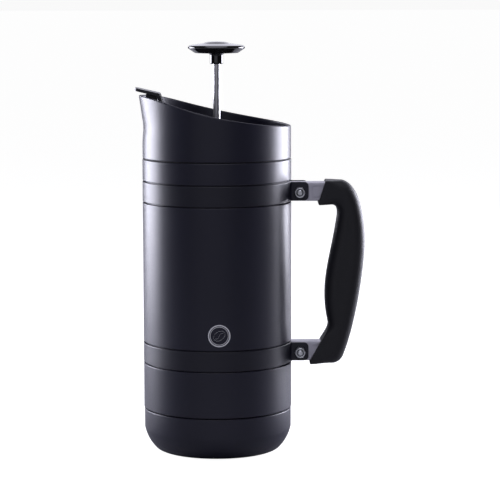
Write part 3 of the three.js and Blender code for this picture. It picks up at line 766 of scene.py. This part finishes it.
def instanceTree():
    # Puts one copy of a made object on every vertex, laid along Y.
    tree, given = startTree("fastenersAtStraps", {"Piece": ("Object", None), "Tilt": ("Float", -math.pi / 2)})
    info = addNode(tree, "GeometryNodeObjectInfo", inputs={"Object": given["Piece"]})
    turn = addNode(tree, "ShaderNodeCombineXYZ", inputs={"X": given["Tilt"]})
    copies = addNode(tree, "GeometryNodeInstanceOnPoints", inputs={
        "Points": given["Geometry"], "Instance": info.outputs["Geometry"], "Rotation": turn.outputs[0]})
    endTree(tree, copies.outputs[0], given)
    return tree


fastenersAtStraps = instanceTree()


def boltBlank():
    # The shank runs down the Z axis, and the head has a hexagon socket.
    radius, tip, head = fastener["radius"], fastener["tip"], fastener["head"]
    top = earFace + fastener["headHeight"]
    dome = curvePoints([(head, earFace + 0.5), (head, top - 0.1), (1.9, top)], 6)
    blank = turned("bolt", [
        (0, -tip), (radius - 0.5, -tip, 0.4), (radius, -tip + 0.6, 0.2), (radius, earFace),
        (head, earFace, 0.15), *dome, (0, top)], 48)
    socket = turned("socket", [
        (0, top - fastener["socketDepth"]), (fastener["socket"], top - fastener["socketDepth"]),
        (fastener["socket"], top + 1), (0, top + 1)], 6)
    carve(blank, socket)
    return blank


def nutBlank():
    # A hexagon with both faces chamfered, and a round collar over the nylon ring.
    corner = fastener["flats"] / math.sqrt(3)
    top, height = -earFace, fastener["nutHeight"]
    shoulder = top - height + 1
    hexagon = turned("nut", [(0, shoulder), (corner, shoulder), (corner, top), (0, top)], 6)
    chamfer = turned("chamfer", [
        (0, shoulder), (fastener["flats"] / 2 - 0.05, shoulder), (corner, shoulder + 0.7),
        (corner, top - 0.6), (fastener["flats"] / 2 + 0.1, top), (0, top)], 96)
    carve(hexagon, chamfer, operation="INTERSECT")
    seat = turned("seat", [
        (fastener["insert"] + 0.15, top - height, 0.1), (fastener["nutCollar"], top - height, 0.35),
        (fastener["nutCollar"], shoulder + 0.4), (fastener["insert"] + 0.15, shoulder + 0.4)], 64)
    hole = turned("bore", [
        (0, top - 10), (fastener["radius"] + sliding, top - 10), (fastener["radius"] + sliding, top + 1),
        (0, top + 1)], 40)
    carve(hexagon, seat, operation="UNION")
    carve(hexagon, hole)
    return hexagon


def insertBlank():
    low = -earFace - fastener["nutHeight"] + 0.35
    inner = fastener["radius"] + 0.15
    return turned("insertRing", [
        (inner, low, 0.2), (fastener["insert"] - 0.15, low, 0.2), (fastener["insert"] - 0.15, low + 1),
        (inner, low + 1)], 48)


def fastenerSet(name, blank, finish, slot, kind):
    points = [(strap["boltX"], 0, strap["boltZ"]) for strap in straps.values()]
    piece = newPiece(name, points, [])
    runTree(piece, fastenersAtStraps, {"Material": finish, "Piece": blank})
    bpy.data.objects.remove(blank)
    place(piece, finish, slot, "vessel", *[side + kind for side in straps])


fastenerSet("clampBolts", boltBlank(), zincPlate, "zinc", "_bolt")
fastenerSet("clampNuts", nutBlank(), zincPlate, "zinc", "_nut")
fastenerSet("nutInserts", insertBlank(), nylonRing, "nylon", "_nut_insert")
print("fasteners made")


# Handle.

spineCurves = [[(80, 183.5), (97.5, 186), (95.5, 162), (93.6, 146)],
               [(93.6, 146), (91.5, 122), (89.5, 84), (76, 69)]]
core = {"halfThick": 4.5, "halfWide": 6, "start": 51.6, "edge": 0.9, "panelDepth": 0.8, "panelLeft": 67.4,
        "panelInset": 2.4, "panelCorner": 1, "grooveWide": 0.7, "boltHole": 2.3}
lugs = {"upper": {"low": 177, "high": 190.3, "stop": 84, "panelRight": 77},
        "lower": {"low": 62.2, "high": 76, "stop": 78, "panelRight": 75}}
# The grip's side outline, as lines and curves that chain from the first point.
gripCurves = [
    [(77.2, 191.5)], [(89.2, 191.5)], [(96.5, 189.8), (101, 178.5)], [(105.2, 165.5), (105.4, 148.3)],
    [(105.6, 133.2), (100, 90.1), (90.2, 65.7)], [(87.5, 60.2), (82, 60)], [(65.2, 60)], [(74.5, 77.3)],
    [(79.4, 85), (79.1, 89.1)], [(72.6, 118.3), (81.1, 134.6), (85.6, 167)], [(86, 174), (81.5, 174.3)]]
gripEnds = [((71.6, 174.3), (77.2, 191.5)), ((65.2, 60), (74.5, 77.3))]
grip = {"halfWide": 11, "softEdge": 7.5, "crispEdge": 0.5, "reach": 14, "corner": 1.1, "spacing": 1.6,
        "steps": 7}


def spinePrism(name, grow):
    # The middle line given width on both sides, from the upper lug to the lower one.
    line = [spineCurves[0][0]]
    for curve in spineCurves:
        line += curvePoints(curve, 14)
    left, right = [], []
    for i, point in enumerate(line):
        along = Vector(line[min(i + 1, len(line) - 1)]) - Vector(line[max(i - 1, 0)])
        side = Vector((-along.y, along.x)).normalized() * (core["halfThick"] + grow)
        left.append(tuple(Vector(point) + side))
        right.append(tuple(Vector(point) - side))
    wide = core["halfWide"] + grow
    return prism(name, left + right[::-1], -wide, wide)


def lugBar(name, lug, grow):
    # A bar along X with a rounded section, from the shell into the grip.
    wide, edge = core["halfWide"] + grow, core["edge"]
    low, high = lug["low"] - grow, lug["high"] + grow
    section = roundCorners([(-wide, low, edge), (wide, low, edge), (wide, high, edge), (-wide, high, edge)])
    return lofted(name, [[(x, y, z) for y, z in section] for x in (core["start"], lug["stop"])])


def handleCore():
    casting = spinePrism("handleCasting", 0)
    for side, lug in lugs.items():
        bar = lugBar("lug", lug, 0)
        low, high = lug["low"] + core["panelInset"], lug["high"] - core["panelInset"]
        corner = core["panelCorner"]
        panel = roundCorners([(core["panelLeft"], low, corner), (lug["panelRight"], low, corner),
                              (lug["panelRight"], high, corner), (core["panelLeft"], high, corner)])
        inset = core["grooveWide"]
        right = lug["panelRight"] + 1
        middle = roundCorners([(core["panelLeft"] + inset, low + inset, corner), (right, low + inset),
                               (right, high - inset), (core["panelLeft"] + inset, high - inset, corner)])
        for face in (-1, 1):
            floor, out = face * (core["halfWide"] - core["panelDepth"]), face * (core["halfWide"] + 1)
            groove = prism("groove", panel, min(floor, out), max(floor, out))
            carve(groove, prism("middle", middle, min(floor, out) - 1, max(floor, out) + 1))
            carve(bar, groove)
        carve(casting, bar, operation="UNION")
        strap = straps[side]
        carve(casting, crossBar("hole", core["boltHole"], strap["boltX"], strap["boltZ"], -20, 20))
    return casting


def gripOutline():
    start = gripEnds[0][0]
    line, at = [], start
    for controls in gripCurves:
        count = 1 if len(controls) == 1 else 14
        line += curvePoints([at, *controls], count)
        at = controls[-1]
    crisp = (*gripEnds[0], gripEnds[1][0])
    corners = [(*p, grip["corner"]) if min((Vector(p) - Vector(c)).length for c in crisp) < 0.1 else p
               for p in [start, *line]]
    divided = []
    rounded = roundCorners(corners, 4)
    for here, after in zip(rounded, rounded[1:] + rounded[:1]):
        parts = max(1, round((Vector(after) - Vector(here)).length / grip["spacing"]))
        divided += [tuple(Vector(here).lerp(Vector(after), k / parts)) for k in range(parts)]
    return divided


def distanceTo(point, first, last):
    line = Vector(last) - Vector(first)
    share = max(0, min(1, (Vector(point) - Vector(first)).dot(line) / line.length_squared))
    return (Vector(point) - Vector(first) - line * share).length


def handleGrip():
    # Both long sides are rounded wide, and the rounding tightens towards the two end faces.
    outline = gripOutline()
    rings = []
    steps = grip["steps"]
    halfWide = grip["halfWide"]
    for k in range(-steps - 1, steps + 2):
        angle = math.pi / 2 * min(abs(k), steps) / steps
        ring = []
        for i, point in enumerate(outline):
            along = Vector(outline[(i + 1) % len(outline)]) - Vector(outline[i - 1])
            inward = Vector((along.y, -along.x)).normalized()
            share = min(1, min(distanceTo(point, *end) for end in gripEnds) / grip["reach"])
            share = share * share * (3 - 2 * share)
            radius = grip["crispEdge"] + (grip["softEdge"] - grip["crispEdge"]) * share
            inset = radius * (1 - math.cos(angle)) + (0.3 if abs(k) > steps else 0)
            spot = Vector(point) + inward * inset
            depth = halfWide - radius * (1 - math.sin(angle))
            ring.append((spot.x, math.copysign(depth, k), spot.y))
        rings.append(ring)
    moulding = lofted("gripMoulding", rings)
    tunnel = spinePrism("tunnel", sliding)
    for lug in lugs.values():
        carve(tunnel, lugBar("lugTunnel", lug, sliding), operation="UNION")
    carve(moulding, tunnel)
    moulding.modifiers.new("shading", "WEIGHTED_NORMAL").keep_sharp = True
    return moulding


place(handleCore(), blastedCasting, "die_cast", "vessel", "handle_core")
place(handleGrip(), softTouch, "soft_touch", "vessel", "handle_grip")
print("handle made")


# Lid.

cover = {"radius": 50.4, "wall": 2.1, "skin": 2.2, "drop": 9, "edge": 0.8, "boss": 7.8, "bossLow": 222.4,
         "bossTop": 232.4, "bushHole": 5.5, "blank": 258}
window = {"left": -48.3, "right": -41.2, "halfWide": 10, "corner": 2}
hinge = {"x": -39.2, "z": 244.6, "knuckle": 2, "pin": 1.2, "earInside": 6.4, "earOutside": 9.4, "foot": 238}


def lidCover():
    low = span("lid_cover")[0].z
    top, radius, wall, skin = cover["blank"], cover["radius"], cover["wall"], cover["skin"]
    rings = [radius * i / 16 for i in range(1, 16)]
    ceiling = [(radius - wall) * i / 16 for i in range(1, 16)]
    blank = turned("lidCover", [
        (0, top - skin), *[(r, top - skin) for r in ceiling], (radius - wall, top - skin, 0.6),
        (radius - wall, low, 0.4), (radius, low, 0.4), (radius, top, cover["edge"]),
        *[(r, top) for r in rings[::-1]], (0, top)], 160)
    runTree(blank, slantToRim, {
        "Material": grainedPlastic, "Fixed below": (low + 1) * mm, "Moved above": (low + 3) * mm,
        "Blank top": top * mm, "Drop": cover["drop"] * mm, "Spout lean": 0.0})
    boss = turned("boss", [
        (0, cover["bossLow"]), (cover["boss"], cover["bossLow"], 0.4), (cover["boss"], cover["bossTop"], 0.6),
        (0, cover["bossTop"])], 64)
    carve(blank, boss, *[hingeEar(face) for face in (-1, 1)], operation="UNION")
    hole = turned("bushHole", [(0, 200), (cover["bushHole"], 200), (cover["bushHole"], 250), (0, 250)], 48)
    corner = window["corner"]
    opening = roundCorners([
        (window["left"], -window["halfWide"], corner), (window["right"], -window["halfWide"], corner),
        (window["right"], window["halfWide"], corner), (window["left"], window["halfWide"], corner)])
    carve(blank, hole, prism("opening", opening, 231, 260, upright=False), pinHole())
    return blank


def hingeEar(face):
    x, z, knuckle = hinge["x"], hinge["z"], hinge["knuckle"]
    near, far = face * hinge["earInside"], face * hinge["earOutside"]
    outline = [(x - knuckle, hinge["foot"]), (x + knuckle, hinge["foot"]),
               *arcPoints((x, z), knuckle, 0, 180, 12)]
    return prism("ear", outline, min(near, far), max(near, far))


def pinHole():
    return crossBar("pinHole", hinge["pin"] + sliding, hinge["x"], hinge["z"], -20, 20)


def hingePin():
    # Turned along Z with rounded ends, then laid along Y at the hinge.
    radius, half = hinge["pin"], hinge["earOutside"]
    pin = turned("hingePin", [
        (0, -half), (radius, -half, 0.4), (radius, half, 0.4), (0, half)], 40)
    for vertex in pin.data.vertices:
        x, y, z = vertex.co
        vertex.co = (x + hinge["x"] * mm, z, hinge["z"] * mm - y)
    return pin


place(lidCover(), grainedPlastic, "lid_plastic", "lid", "lid_cover")
place(hingePin(), brushedSteel, "brushed_steel", "lid", "flap_pin")

strainer = {"count": 9, "spread": 9, "inner": 24, "outer": 40, "width": 2.6}
lidBase = {"skirt": 46.4, "skirtBore": 44.4, "underside": 217.4, "hole": 5.5, "grooveLow": 209,
           "grooveHigh": 213, "grooveFloor": 45.1}


def perforateTree():
    # Cuts copies of a tool out of the piece, on an arc round the Z axis.
    tree, given = startTree("perforate", {
        "Tool": ("Object", None), "Count": ("Int", 8), "First angle": ("Float", 0.0),
        "Step angle": ("Float", 0.1)})
    index = addNode(tree, "GeometryNodeInputIndex").outputs[0]
    swept = addNode(tree, "ShaderNodeMath", {"operation": "MULTIPLY_ADD"}, {
        0: index, 1: given["Step angle"], 2: given["First angle"]})
    turn = addNode(tree, "ShaderNodeCombineXYZ", inputs={"Z": swept.outputs[0]})
    points = addNode(tree, "GeometryNodePoints", inputs={"Count": given["Count"]})
    info = addNode(tree, "GeometryNodeObjectInfo", inputs={"Object": given["Tool"]})
    copies = addNode(tree, "GeometryNodeInstanceOnPoints", inputs={
        "Points": points.outputs[0], "Instance": info.outputs["Geometry"], "Rotation": turn.outputs[0]})
    cut = addNode(tree, "GeometryNodeMeshBoolean", {"operation": "DIFFERENCE", "solver": "EXACT"}, {
        "Mesh 1": given["Geometry"], "Mesh 2": copies.outputs[0]})
    endTree(tree, cut.outputs[0], given)
    return tree


perforate = perforateTree()


def lidBasePlate():
    low, high = span("lid_base")
    size = lidBase
    blank = turned("lidBase", [
        (size["skirtBore"], low.z, 0.5), (size["skirt"], low.z, 0.5), (size["skirt"], size["grooveLow"], 0.3),
        (size["grooveFloor"], size["grooveLow"]), (size["grooveFloor"], size["grooveHigh"]),
        (size["skirt"], size["grooveHigh"], 0.3), (size["skirt"], size["underside"]),
        (high.x, size["underside"], 0.3), (high.x, high.z, 0.3), (size["hole"], high.z, 0.3),
        (size["hole"], size["underside"], 0.3), (size["skirtBore"], size["underside"], 0.6)], 160)
    inner, outer, half = strainer["inner"], strainer["outer"], strainer["width"] / 2
    slot = arcPoints((outer - half, 0), half, -90, 90, 8) + arcPoints((inner + half, 0), half, 90, 270, 8)
    tool = prism("slot", slot, size["underside"] - 1, high.z + 1, upright=False)
    middle = (strainer["count"] - 1) / 2
    runTree(blank, perforate, {
        "Material": grainedPlastic, "Tool": tool, "Count": strainer["count"],
        "First angle": math.pi - math.radians(strainer["spread"] * middle),
        "Step angle": math.radians(strainer["spread"])})
    bpy.data.objects.remove(tool)
    return blank


def lidSeal():
    low, high = span("lid_seal")
    inner, lip, middle = lidBase["grooveFloor"] + sliding, high.x, (low.z + high.z) / 2
    return turned("lidSeal", [
        (inner, low.z, 0.2), (lip - 0.5, low.z, 0.3), (lip, low.z + 0.8, 0.4), (lip - 0.9, middle, 0.3),
        (lip, high.z - 0.8, 0.4), (lip - 0.5, high.z, 0.3), (inner, high.z, 0.2)], 160)


place(lidBasePlate(), grainedPlastic, "lid_plastic", "lid", "lid_base")
place(lidSeal(), siliconeRubber, "silicone", "lid", "lid_seal")

flap = {"halfWide": 9.5, "corner": 6, "tipX": -58.4, "heelX": -30, "edge": 0.45, "web": 6}
# The tab's section: a flat top to the lip, bent down at its heel to the knuckle.
flapSection = [(-57.9, 257.7, 0.8), (-58.3, 255.6, 0.8), (-42.1, 251.8, 1.4), (-40.7, 247.6, 0.4),
               (-38.3, 247.6, 0.4), (-39.9, 252.9, 1.2), (-40.6, 253.7, 1.2)]


def spoutFlap():
    wide, corner = flap["halfWide"], flap["corner"]
    tab = prism("spoutFlap", roundCorners(flapSection), -wide, wide)
    tip, heel = flap["tipX"], flap["heelX"]
    plan = roundCorners([(tip, -wide, corner), (heel, -wide), (heel, wide), (tip, wide, corner)], 8)
    carve(tab, prism("plan", plan, 240, 262, upright=False), operation="INTERSECT")
    x, z, knuckle, web = hinge["x"], hinge["z"], hinge["knuckle"], flap["web"]
    foot = [(x + 0.6, z + 3.8), (x - 1.7, z + 3.8), *arcPoints((x, z), knuckle, 180, 360, 12)]
    carve(tab, prism("web", foot, -web, web), operation="UNION")
    carve(tab, pinHole())
    softenEdges(tab, flap["edge"])
    return tab


def flapPlug():
    section = roundCorners([(-50, 253.4, 0.6), (-50, 245, 1), (-47.2, 241.6, 1), (-42.2, 241.6, 0.8),
                            (-42.4, 251.6, 0.6)])
    half = flap["halfWide"] - 0.5
    block = prism("flapPlug", section, -half, half)
    softenEdges(block, 0.7)
    return block


place(spoutFlap(), satinPlastic, "flap_plastic", "flap", "spout_flap")
place(flapPlug(), siliconeRubber, "silicone", "flap", "flap_plug")
print("lid made")


# Plunger.

rod = {"radius": 2.5, "stud": 2, "shoulder": 66.9}
knob = {"boss": 4.7, "underside": 281.8, "shoulderRadius": 15.2, "capRadius": 9.2, "rodHole": 2.8,
        "taperRise": 3.3, "rimRise": 4.2, "crownRadius": 19.2, "crownRise": 5.35, "recess": 1.9}


def rodBush():
    low, high = span("rod_bush")
    flange = high.z - 1.5
    return turned("rodBush", [
        (rod["radius"] + sliding, low.z, 0.3), (5, low.z, 0.8), (5, flange), (high.x, flange, 0.3),
        (high.x, high.z, 0.7), (rod["radius"] + sliding, high.z, 0.5)], 96)


def plungerRod():
    low, high = span("plunger_rod")
    return turned("plungerRod", [
        (0, low.z), (rod["stud"], low.z, 0.4), (rod["stud"], rod["shoulder"], 0.1),
        (rod["radius"], rod["shoulder"], 0.2), (rod["radius"], high.z, 0.3), (0, high.z)], 64)


def knobDisc():
    # A tapered underside on a boss, a rounded rim, and a recess for the cap.
    low, high = span("knob")
    radius, under, rodTop = high.x, knob["underside"], span("plunger_rod")[1].z + sliding
    seat, floor = knob["capRadius"] + sliding, high.z - knob["recess"]
    return turned("knobDisc", [
        (0, rodTop), (knob["rodHole"], rodTop), (knob["rodHole"], low.z, 0.2), (knob["boss"], low.z, 0.8),
        (knob["boss"], under - 0.4, 1.2), (knob["shoulderRadius"], under, 2.5),
        (radius - 0.25, under + knob["taperRise"], 0.7), (radius, under + knob["rimRise"], 0.9),
        (knob["crownRadius"], under + knob["crownRise"], 1.2), (seat, high.z, 0.25), (seat, floor, 0.2),
        (0, floor)], 160)


def knobCap():
    low, high = span("knob_cap")
    dome = curvePoints([(high.x, high.z - 1.3), (7, high.z), (0, high.z)], 8)
    return turned("knobCap", [(0, low.z), (high.x, low.z, 0.2), (high.x, high.z - 1.3, 0.2), *dome], 128)


place(rodBush(), grainedPlastic, "lid_plastic", "bush", "rod_bush")
place(plungerRod(), polishedSteel, "polished_steel", "plunger", "plunger_rod")
place(knobDisc(), buffedPhenolic, "knob_plastic", "plunger", "knob")
place(knobCap(), buffedPhenolic, "knob_plastic", "plunger", "knob_cap")

topPlate = {"holes": 8, "holeRadius": 6.5, "pitch": 26, "dish": 0.35}
bottomPlate = {"holes": 12, "holeRadius": 5, "pitch": 30, "dish": 0.2}
pressedRing = {"inside": 6, "outside": 4.5}  # in from the plate's edge


def filterPlate(name, node, size):
    # A stamped disc with a pressed ring inside its edge and a ring of round holes.
    low, high = span(node)
    radius, dish, hole = high.x, size["dish"], rod["stud"] + sliding
    inside, outside = radius - pressedRing["inside"], radius - pressedRing["outside"]
    blank = turned(name, [
        (hole, low.z, 0.1), (inside, low.z, 0.8), (outside, low.z + dish, 0.8), (radius, low.z + dish, 0.2),
        (radius, high.z, 0.3), (outside, high.z, 0.8), (inside, high.z - dish, 0.8),
        (hole, high.z - dish, 0.1)], 128)
    tool = prism("drill", arcPoints((size["pitch"], 0), size["holeRadius"], 0, 348.75, 31),
                 low.z - 2, high.z + 2, upright=False)
    runTree(blank, perforate, {"Material": stampedSteel, "Tool": tool, "Count": size["holes"],
                               "First angle": 0.0, "Step angle": 2 * math.pi / size["holes"]})
    bpy.data.objects.remove(tool)
    place(blank, stampedSteel, "filter_steel", "plunger", node)


filterPlate("filterTopPlate", "filter_top_plate", topPlate)
filterPlate("filterBottomPlate", "filter_bottom_plate", bottomPlate)

coil = {"ringRadius": 45.9, "coilRadius": 1.2, "wire": 0.28, "turns": 120, "perTurn": 12, "sides": 6}


def coilTree():
    # A wire wound round a ring, closed on itself.
    tree, given = startTree("woundRing", {
        "Ring radius": ("Float", 0.046), "Coil radius": ("Float", 0.0012), "Height": ("Float", 0.0),
        "Wire radius": ("Float", 0.0003), "Turns": ("Int", 120), "Points per turn": ("Int", 12),
        "Sides": ("Int", 6)})
    values = {"turns": given["Turns"], "perTurn": given["Points per turn"],
              "index": addNode(tree, "GeometryNodeInputIndex").outputs[0], "ring": given["Ring radius"],
              "coil": given["Coil radius"], "z": given["Height"], "circle": 2 * math.pi, "none": 0.0}
    for name, operation, first, second in [
            ("count", "MULTIPLY", "turns", "perTurn"), ("wholeTurn", "MULTIPLY", "index", "circle"),
            ("angle", "DIVIDE", "wholeTurn", "count"), ("wind", "MULTIPLY", "angle", "turns"),
            ("outWave", "COSINE", "wind", "none"), ("upWave", "SINE", "wind", "none"),
            ("out", "MULTIPLY", "outWave", "coil"), ("up", "MULTIPLY", "upWave", "coil"),
            ("radius", "ADD", "ring", "out"), ("cosine", "COSINE", "angle", "none"),
            ("sine", "SINE", "angle", "none"), ("x", "MULTIPLY", "radius", "cosine"),
            ("y", "MULTIPLY", "radius", "sine"), ("height", "ADD", "z", "up")]:
        values[name] = addNode(tree, "ShaderNodeMath", {"operation": operation}, {
            0: values[first], 1: values[second]}).outputs[0]
    circle = addNode(tree, "GeometryNodeCurvePrimitiveCircle", inputs={"Resolution": values["count"]})
    target = addNode(tree, "ShaderNodeCombineXYZ", inputs={
        "X": values["x"], "Y": values["y"], "Z": values["height"]})
    wound = addNode(tree, "GeometryNodeSetPosition", inputs={
        "Geometry": circle.outputs[0], "Position": target.outputs[0]})
    profile = addNode(tree, "GeometryNodeCurvePrimitiveCircle", inputs={
        "Resolution": given["Sides"], "Radius": given["Wire radius"]})
    wire = addNode(tree, "GeometryNodeCurveToMesh", inputs={
        "Curve": wound.outputs[0], "Profile Curve": profile.outputs[0]})
    endTree(tree, wire.outputs[0], given)
    return tree


def edgeCoil():
    low, high = span("filter_edge_coil")
    piece = newPiece("edgeCoil", [], [])
    runTree(piece, coilTree(), {
        "Material": stampedSteel, "Ring radius": coil["ringRadius"] * mm,
        "Coil radius": coil["coilRadius"] * mm, "Height": (low.z + high.z) / 2 * mm,
        "Wire radius": coil["wire"] * mm, "Turns": coil["turns"], "Points per turn": coil["perTurn"],
        "Sides": coil["sides"]})
    return piece


place(edgeCoil(), stampedSteel, "filter_steel", "plunger", "filter_edge_coil")

# The real cloth has 0.3 mm openings, and its wires are drawn 2 mm apart so that the weave shows.
weave = {"radius": 46.6, "pitch": 2, "wire": 0.22, "wave": 0.24, "sides": 4}


def weaveTree():
    # Wires both ways, each going over and under the ones that it crosses, trimmed to a disc.
    tree, given = startTree("wovenDisc", {
        "Disc radius": ("Float", 0.046), "Pitch": ("Float", 0.002), "Height": ("Float", 0.065),
        "Wire radius": ("Float", 0.0002), "Wave": ("Float", 0.0002), "Sides": ("Int", 4)})
    position = addNode(tree, "GeometryNodeInputPosition").outputs[0]
    parts = addNode(tree, "ShaderNodeSeparateXYZ", inputs={0: position}).outputs
    values = {"x": parts["X"], "y": parts["Y"], "radius": given["Disc radius"], "pitch": given["Pitch"],
              "wave": given["Wave"], "two": 2.0, "one": 1.0, "halfTurn": math.pi, "quarterPitch": 0.25}
    for name, operation, first, second in [
            ("wide", "DIVIDE", "radius", "pitch"), ("side", "FLOOR", "wide", "one"),
            ("rows", "MULTIPLY_ADD", "side", "two"), ("start", "MULTIPLY", "side", "pitch"),
            ("rr", "MULTIPLY", "radius", "radius"), ("yy", "MULTIPLY", "y", "y"),
            ("left", "SUBTRACT", "rr", "yy"), ("chord", "SQRT", "left", "one"),
            ("stepLength", "MULTIPLY", "pitch", "quarterPitch"), ("perPitch", "DIVIDE", "halfTurn", "pitch"),
            ("xTurn", "MULTIPLY", "x", "perPitch"), ("yTurn", "MULTIPLY", "y", "perPitch"),
            ("xWave", "COSINE", "xTurn", "one"), ("yWave", "COSINE", "yTurn", "one"),
            ("both", "MULTIPLY", "xWave", "yWave"), ("lift", "MULTIPLY", "both", "wave")]:
        values[name] = addNode(tree, "ShaderNodeMath", {"operation": operation}, {
            0: values[first], 1: values[second], 2: 1.0}).outputs[0]
    first = addNode(tree, "ShaderNodeMath", {"operation": "MULTIPLY"}, {0: values["start"], 1: -1.0})
    begin = addNode(tree, "ShaderNodeCombineXYZ", inputs={"Y": first.outputs[0]})
    stride = addNode(tree, "ShaderNodeCombineXYZ", inputs={"Y": given["Pitch"]})
    rows = addNode(tree, "GeometryNodeMeshLine", inputs={
        "Count": values["rows"], "Start Location": begin.outputs[0], "Offset": stride.outputs[0]})
    line = addNode(tree, "GeometryNodeCurvePrimitiveLine", inputs={"Start": (-1, 0, 0), "End": (1, 0, 0)})
    length = addNode(tree, "ShaderNodeCombineXYZ", inputs={"X": values["chord"], "Y": 1.0, "Z": 1.0})
    wires = addNode(tree, "GeometryNodeInstanceOnPoints", inputs={
        "Points": rows.outputs[0], "Instance": line.outputs[0], "Scale": length.outputs[0]})
    real = addNode(tree, "GeometryNodeRealizeInstances", inputs={"Geometry": wires.outputs[0]})
    spaced = addNode(tree, "GeometryNodeResampleCurve", {"mode": "LENGTH"}, {
        "Curve": real.outputs[0], "Length": values["stepLength"]})
    profile = addNode(tree, "GeometryNodeCurvePrimitiveCircle", inputs={
        "Resolution": given["Sides"], "Radius": given["Wire radius"]})
    together = addNode(tree, "GeometryNodeJoinGeometry")
    for quarter, sign in ((0, 1), (math.pi / 2, -1)):
        laid = addNode(tree, "GeometryNodeTransform", inputs={
            "Geometry": spaced.outputs[0], "Rotation": (0, 0, quarter)})
        signed = addNode(tree, "ShaderNodeMath", {"operation": "MULTIPLY_ADD"}, {
            0: values["lift"], 1: float(sign), 2: given["Height"]})
        offset = addNode(tree, "ShaderNodeCombineXYZ", inputs={"Z": signed.outputs[0]})
        waved = addNode(tree, "GeometryNodeSetPosition", inputs={
            "Geometry": laid.outputs[0], "Offset": offset.outputs[0]})
        drawn = addNode(tree, "GeometryNodeCurveToMesh", inputs={
            "Curve": waved.outputs[0], "Profile Curve": profile.outputs[0], "Fill Caps": True})
        tree.links.new(drawn.outputs[0], together.inputs[0])
    endTree(tree, together.outputs[0], given)
    return tree


def filterMesh():
    low, high = span("filter_mesh")
    piece = newPiece("filterCloth", [], [])
    runTree(piece, weaveTree(), {
        "Material": stampedSteel, "Disc radius": weave["radius"] * mm, "Pitch": weave["pitch"] * mm,
        "Height": (low.z + high.z) / 2 * mm, "Wire radius": weave["wire"] * mm, "Wave": weave["wave"] * mm,
        "Sides": weave["sides"]})
    return piece


place(filterMesh(), stampedSteel, "filter_steel", "plunger", "filter_mesh")


def hubNut():
    low, high = span("filter_hub_nut")
    corner, hole = high.y, rod["stud"] + sliding
    flats = corner * math.sqrt(3) / 2
    hexagon = turned("hubNut", [(0, low.z), (corner, low.z), (corner, high.z), (0, high.z)], 6)
    chamfer = turned("chamfer", [
        (0, low.z), (flats - 0.1, low.z), (corner, low.z + 0.7), (corner, high.z - 0.5),
        (flats + 0.1, high.z), (0, high.z)], 96)
    carve(hexagon, chamfer, operation="INTERSECT")
    carve(hexagon, turned("bore", [(0, 50), (hole, 50), (hole, 70), (0, 70)], 40))
    return hexagon


place(hubNut(), stampedSteel, "filter_steel", "plunger", "filter_hub_nut")
print("plunger made")


# Stage and light.

floorLook = {"colour": "#a0a0a3", "glowColour": "#ffffff", "glow": 0.95, "size": 90}


def addFloor():
    # A grey floor that looks pale to the camera. Only the camera sees its glow, so the glow doesn't light
    # the object from below.
    half = floorLook["size"] / 2 / mm
    floor = newPiece("floor", [(-half, -half, 0), (half, -half, 0), (half, half, 0), (-half, half, 0)],
                     [(0, 1, 2, 3)])
    finish = bpy.data.materials.new("pale studio floor")
    finish.use_nodes = True
    tree = finish.node_tree
    shader = tree.nodes["Principled BSDF"]
    shader.inputs["Base Color"].default_value = paint(floorLook["colour"])
    shader.inputs["Roughness"].default_value = 0.8
    shader.inputs["Emission Color"].default_value = paint(floorLook["glowColour"])
    seen = addNode(tree, "ShaderNodeLightPath").outputs["Is Camera Ray"]
    glow = addNode(tree, "ShaderNodeMath", {"operation": "MULTIPLY"}, {0: seen, 1: floorLook["glow"]})
    tree.links.new(glow.outputs[0], shader.inputs["Emission Strength"])
    floor.data.materials.append(finish)


# Softboxes: where each stands round the object in degrees from the camera's side, its distance,
# height and size in metres, and its strength in watts. The floor hides the lower part of the side ones.
softboxes = {
    "left": {"angle": -119, "away": 1.2, "height": 0.15, "wide": 0.8, "tall": 0.9, "watts": 34},
    "right": {"angle": 122, "away": 1.2, "height": 0.15, "wide": 0.8, "tall": 0.9, "watts": 38},
    "overhead": {"angle": 0, "away": 0.4, "height": 1.5, "wide": 1.2, "tall": 1.2, "watts": 8},
    "front": {"angle": -8, "away": 2.2, "height": 0.9, "wide": 2.4, "tall": 1.6, "watts": 6},
    "back": {"angle": 180, "away": 1.5, "height": 0.78, "wide": 2, "tall": 0.8, "watts": 6},
}
studio = {"backdrop": 0.95, "ambient": 0.08, "aim": 0.15, "lightColour": "#f0f0ff"}


def addSoftbox(name, box):
    data = bpy.data.lights.new(name, "AREA")
    data.shape = "RECTANGLE"
    data.size, data.size_y, data.energy = box["wide"], box["tall"], box["watts"]
    data.color = paint(studio["lightColour"])[:3]
    light = bpy.data.objects.new(name, data)
    bpy.context.scene.collection.objects.link(light)
    angle = math.radians(box["angle"])
    light.location = (math.sin(angle) * box["away"], -math.cos(angle) * box["away"], box["height"])
    aim = Vector((0, 0, studio["aim"])) - light.location
    light.rotation_euler = aim.to_track_quat("-Z", "Y").to_euler()


def addWorld():
    # The studio beyond the floor looks pale, and gives only a little light.
    world = bpy.data.worlds.new("studio")
    bpy.context.scene.world = world
    world.use_nodes = True
    tree = world.node_tree
    seen = addNode(tree, "ShaderNodeLightPath").outputs["Is Camera Ray"]
    level = addNode(tree, "ShaderNodeMapRange", inputs={
        "Value": seen, "To Min": studio["ambient"], "To Max": studio["backdrop"]})
    tree.links.new(level.outputs[0], tree.nodes["Background"].inputs["Strength"])
    tree.nodes["Background"].inputs["Color"].default_value = (1, 1, 1, 1)


addFloor()
for name, box in softboxes.items():
    addSoftbox(name, box)
addWorld()
bpy.context.scene.view_settings.view_transform = "Standard"
print("stage made")
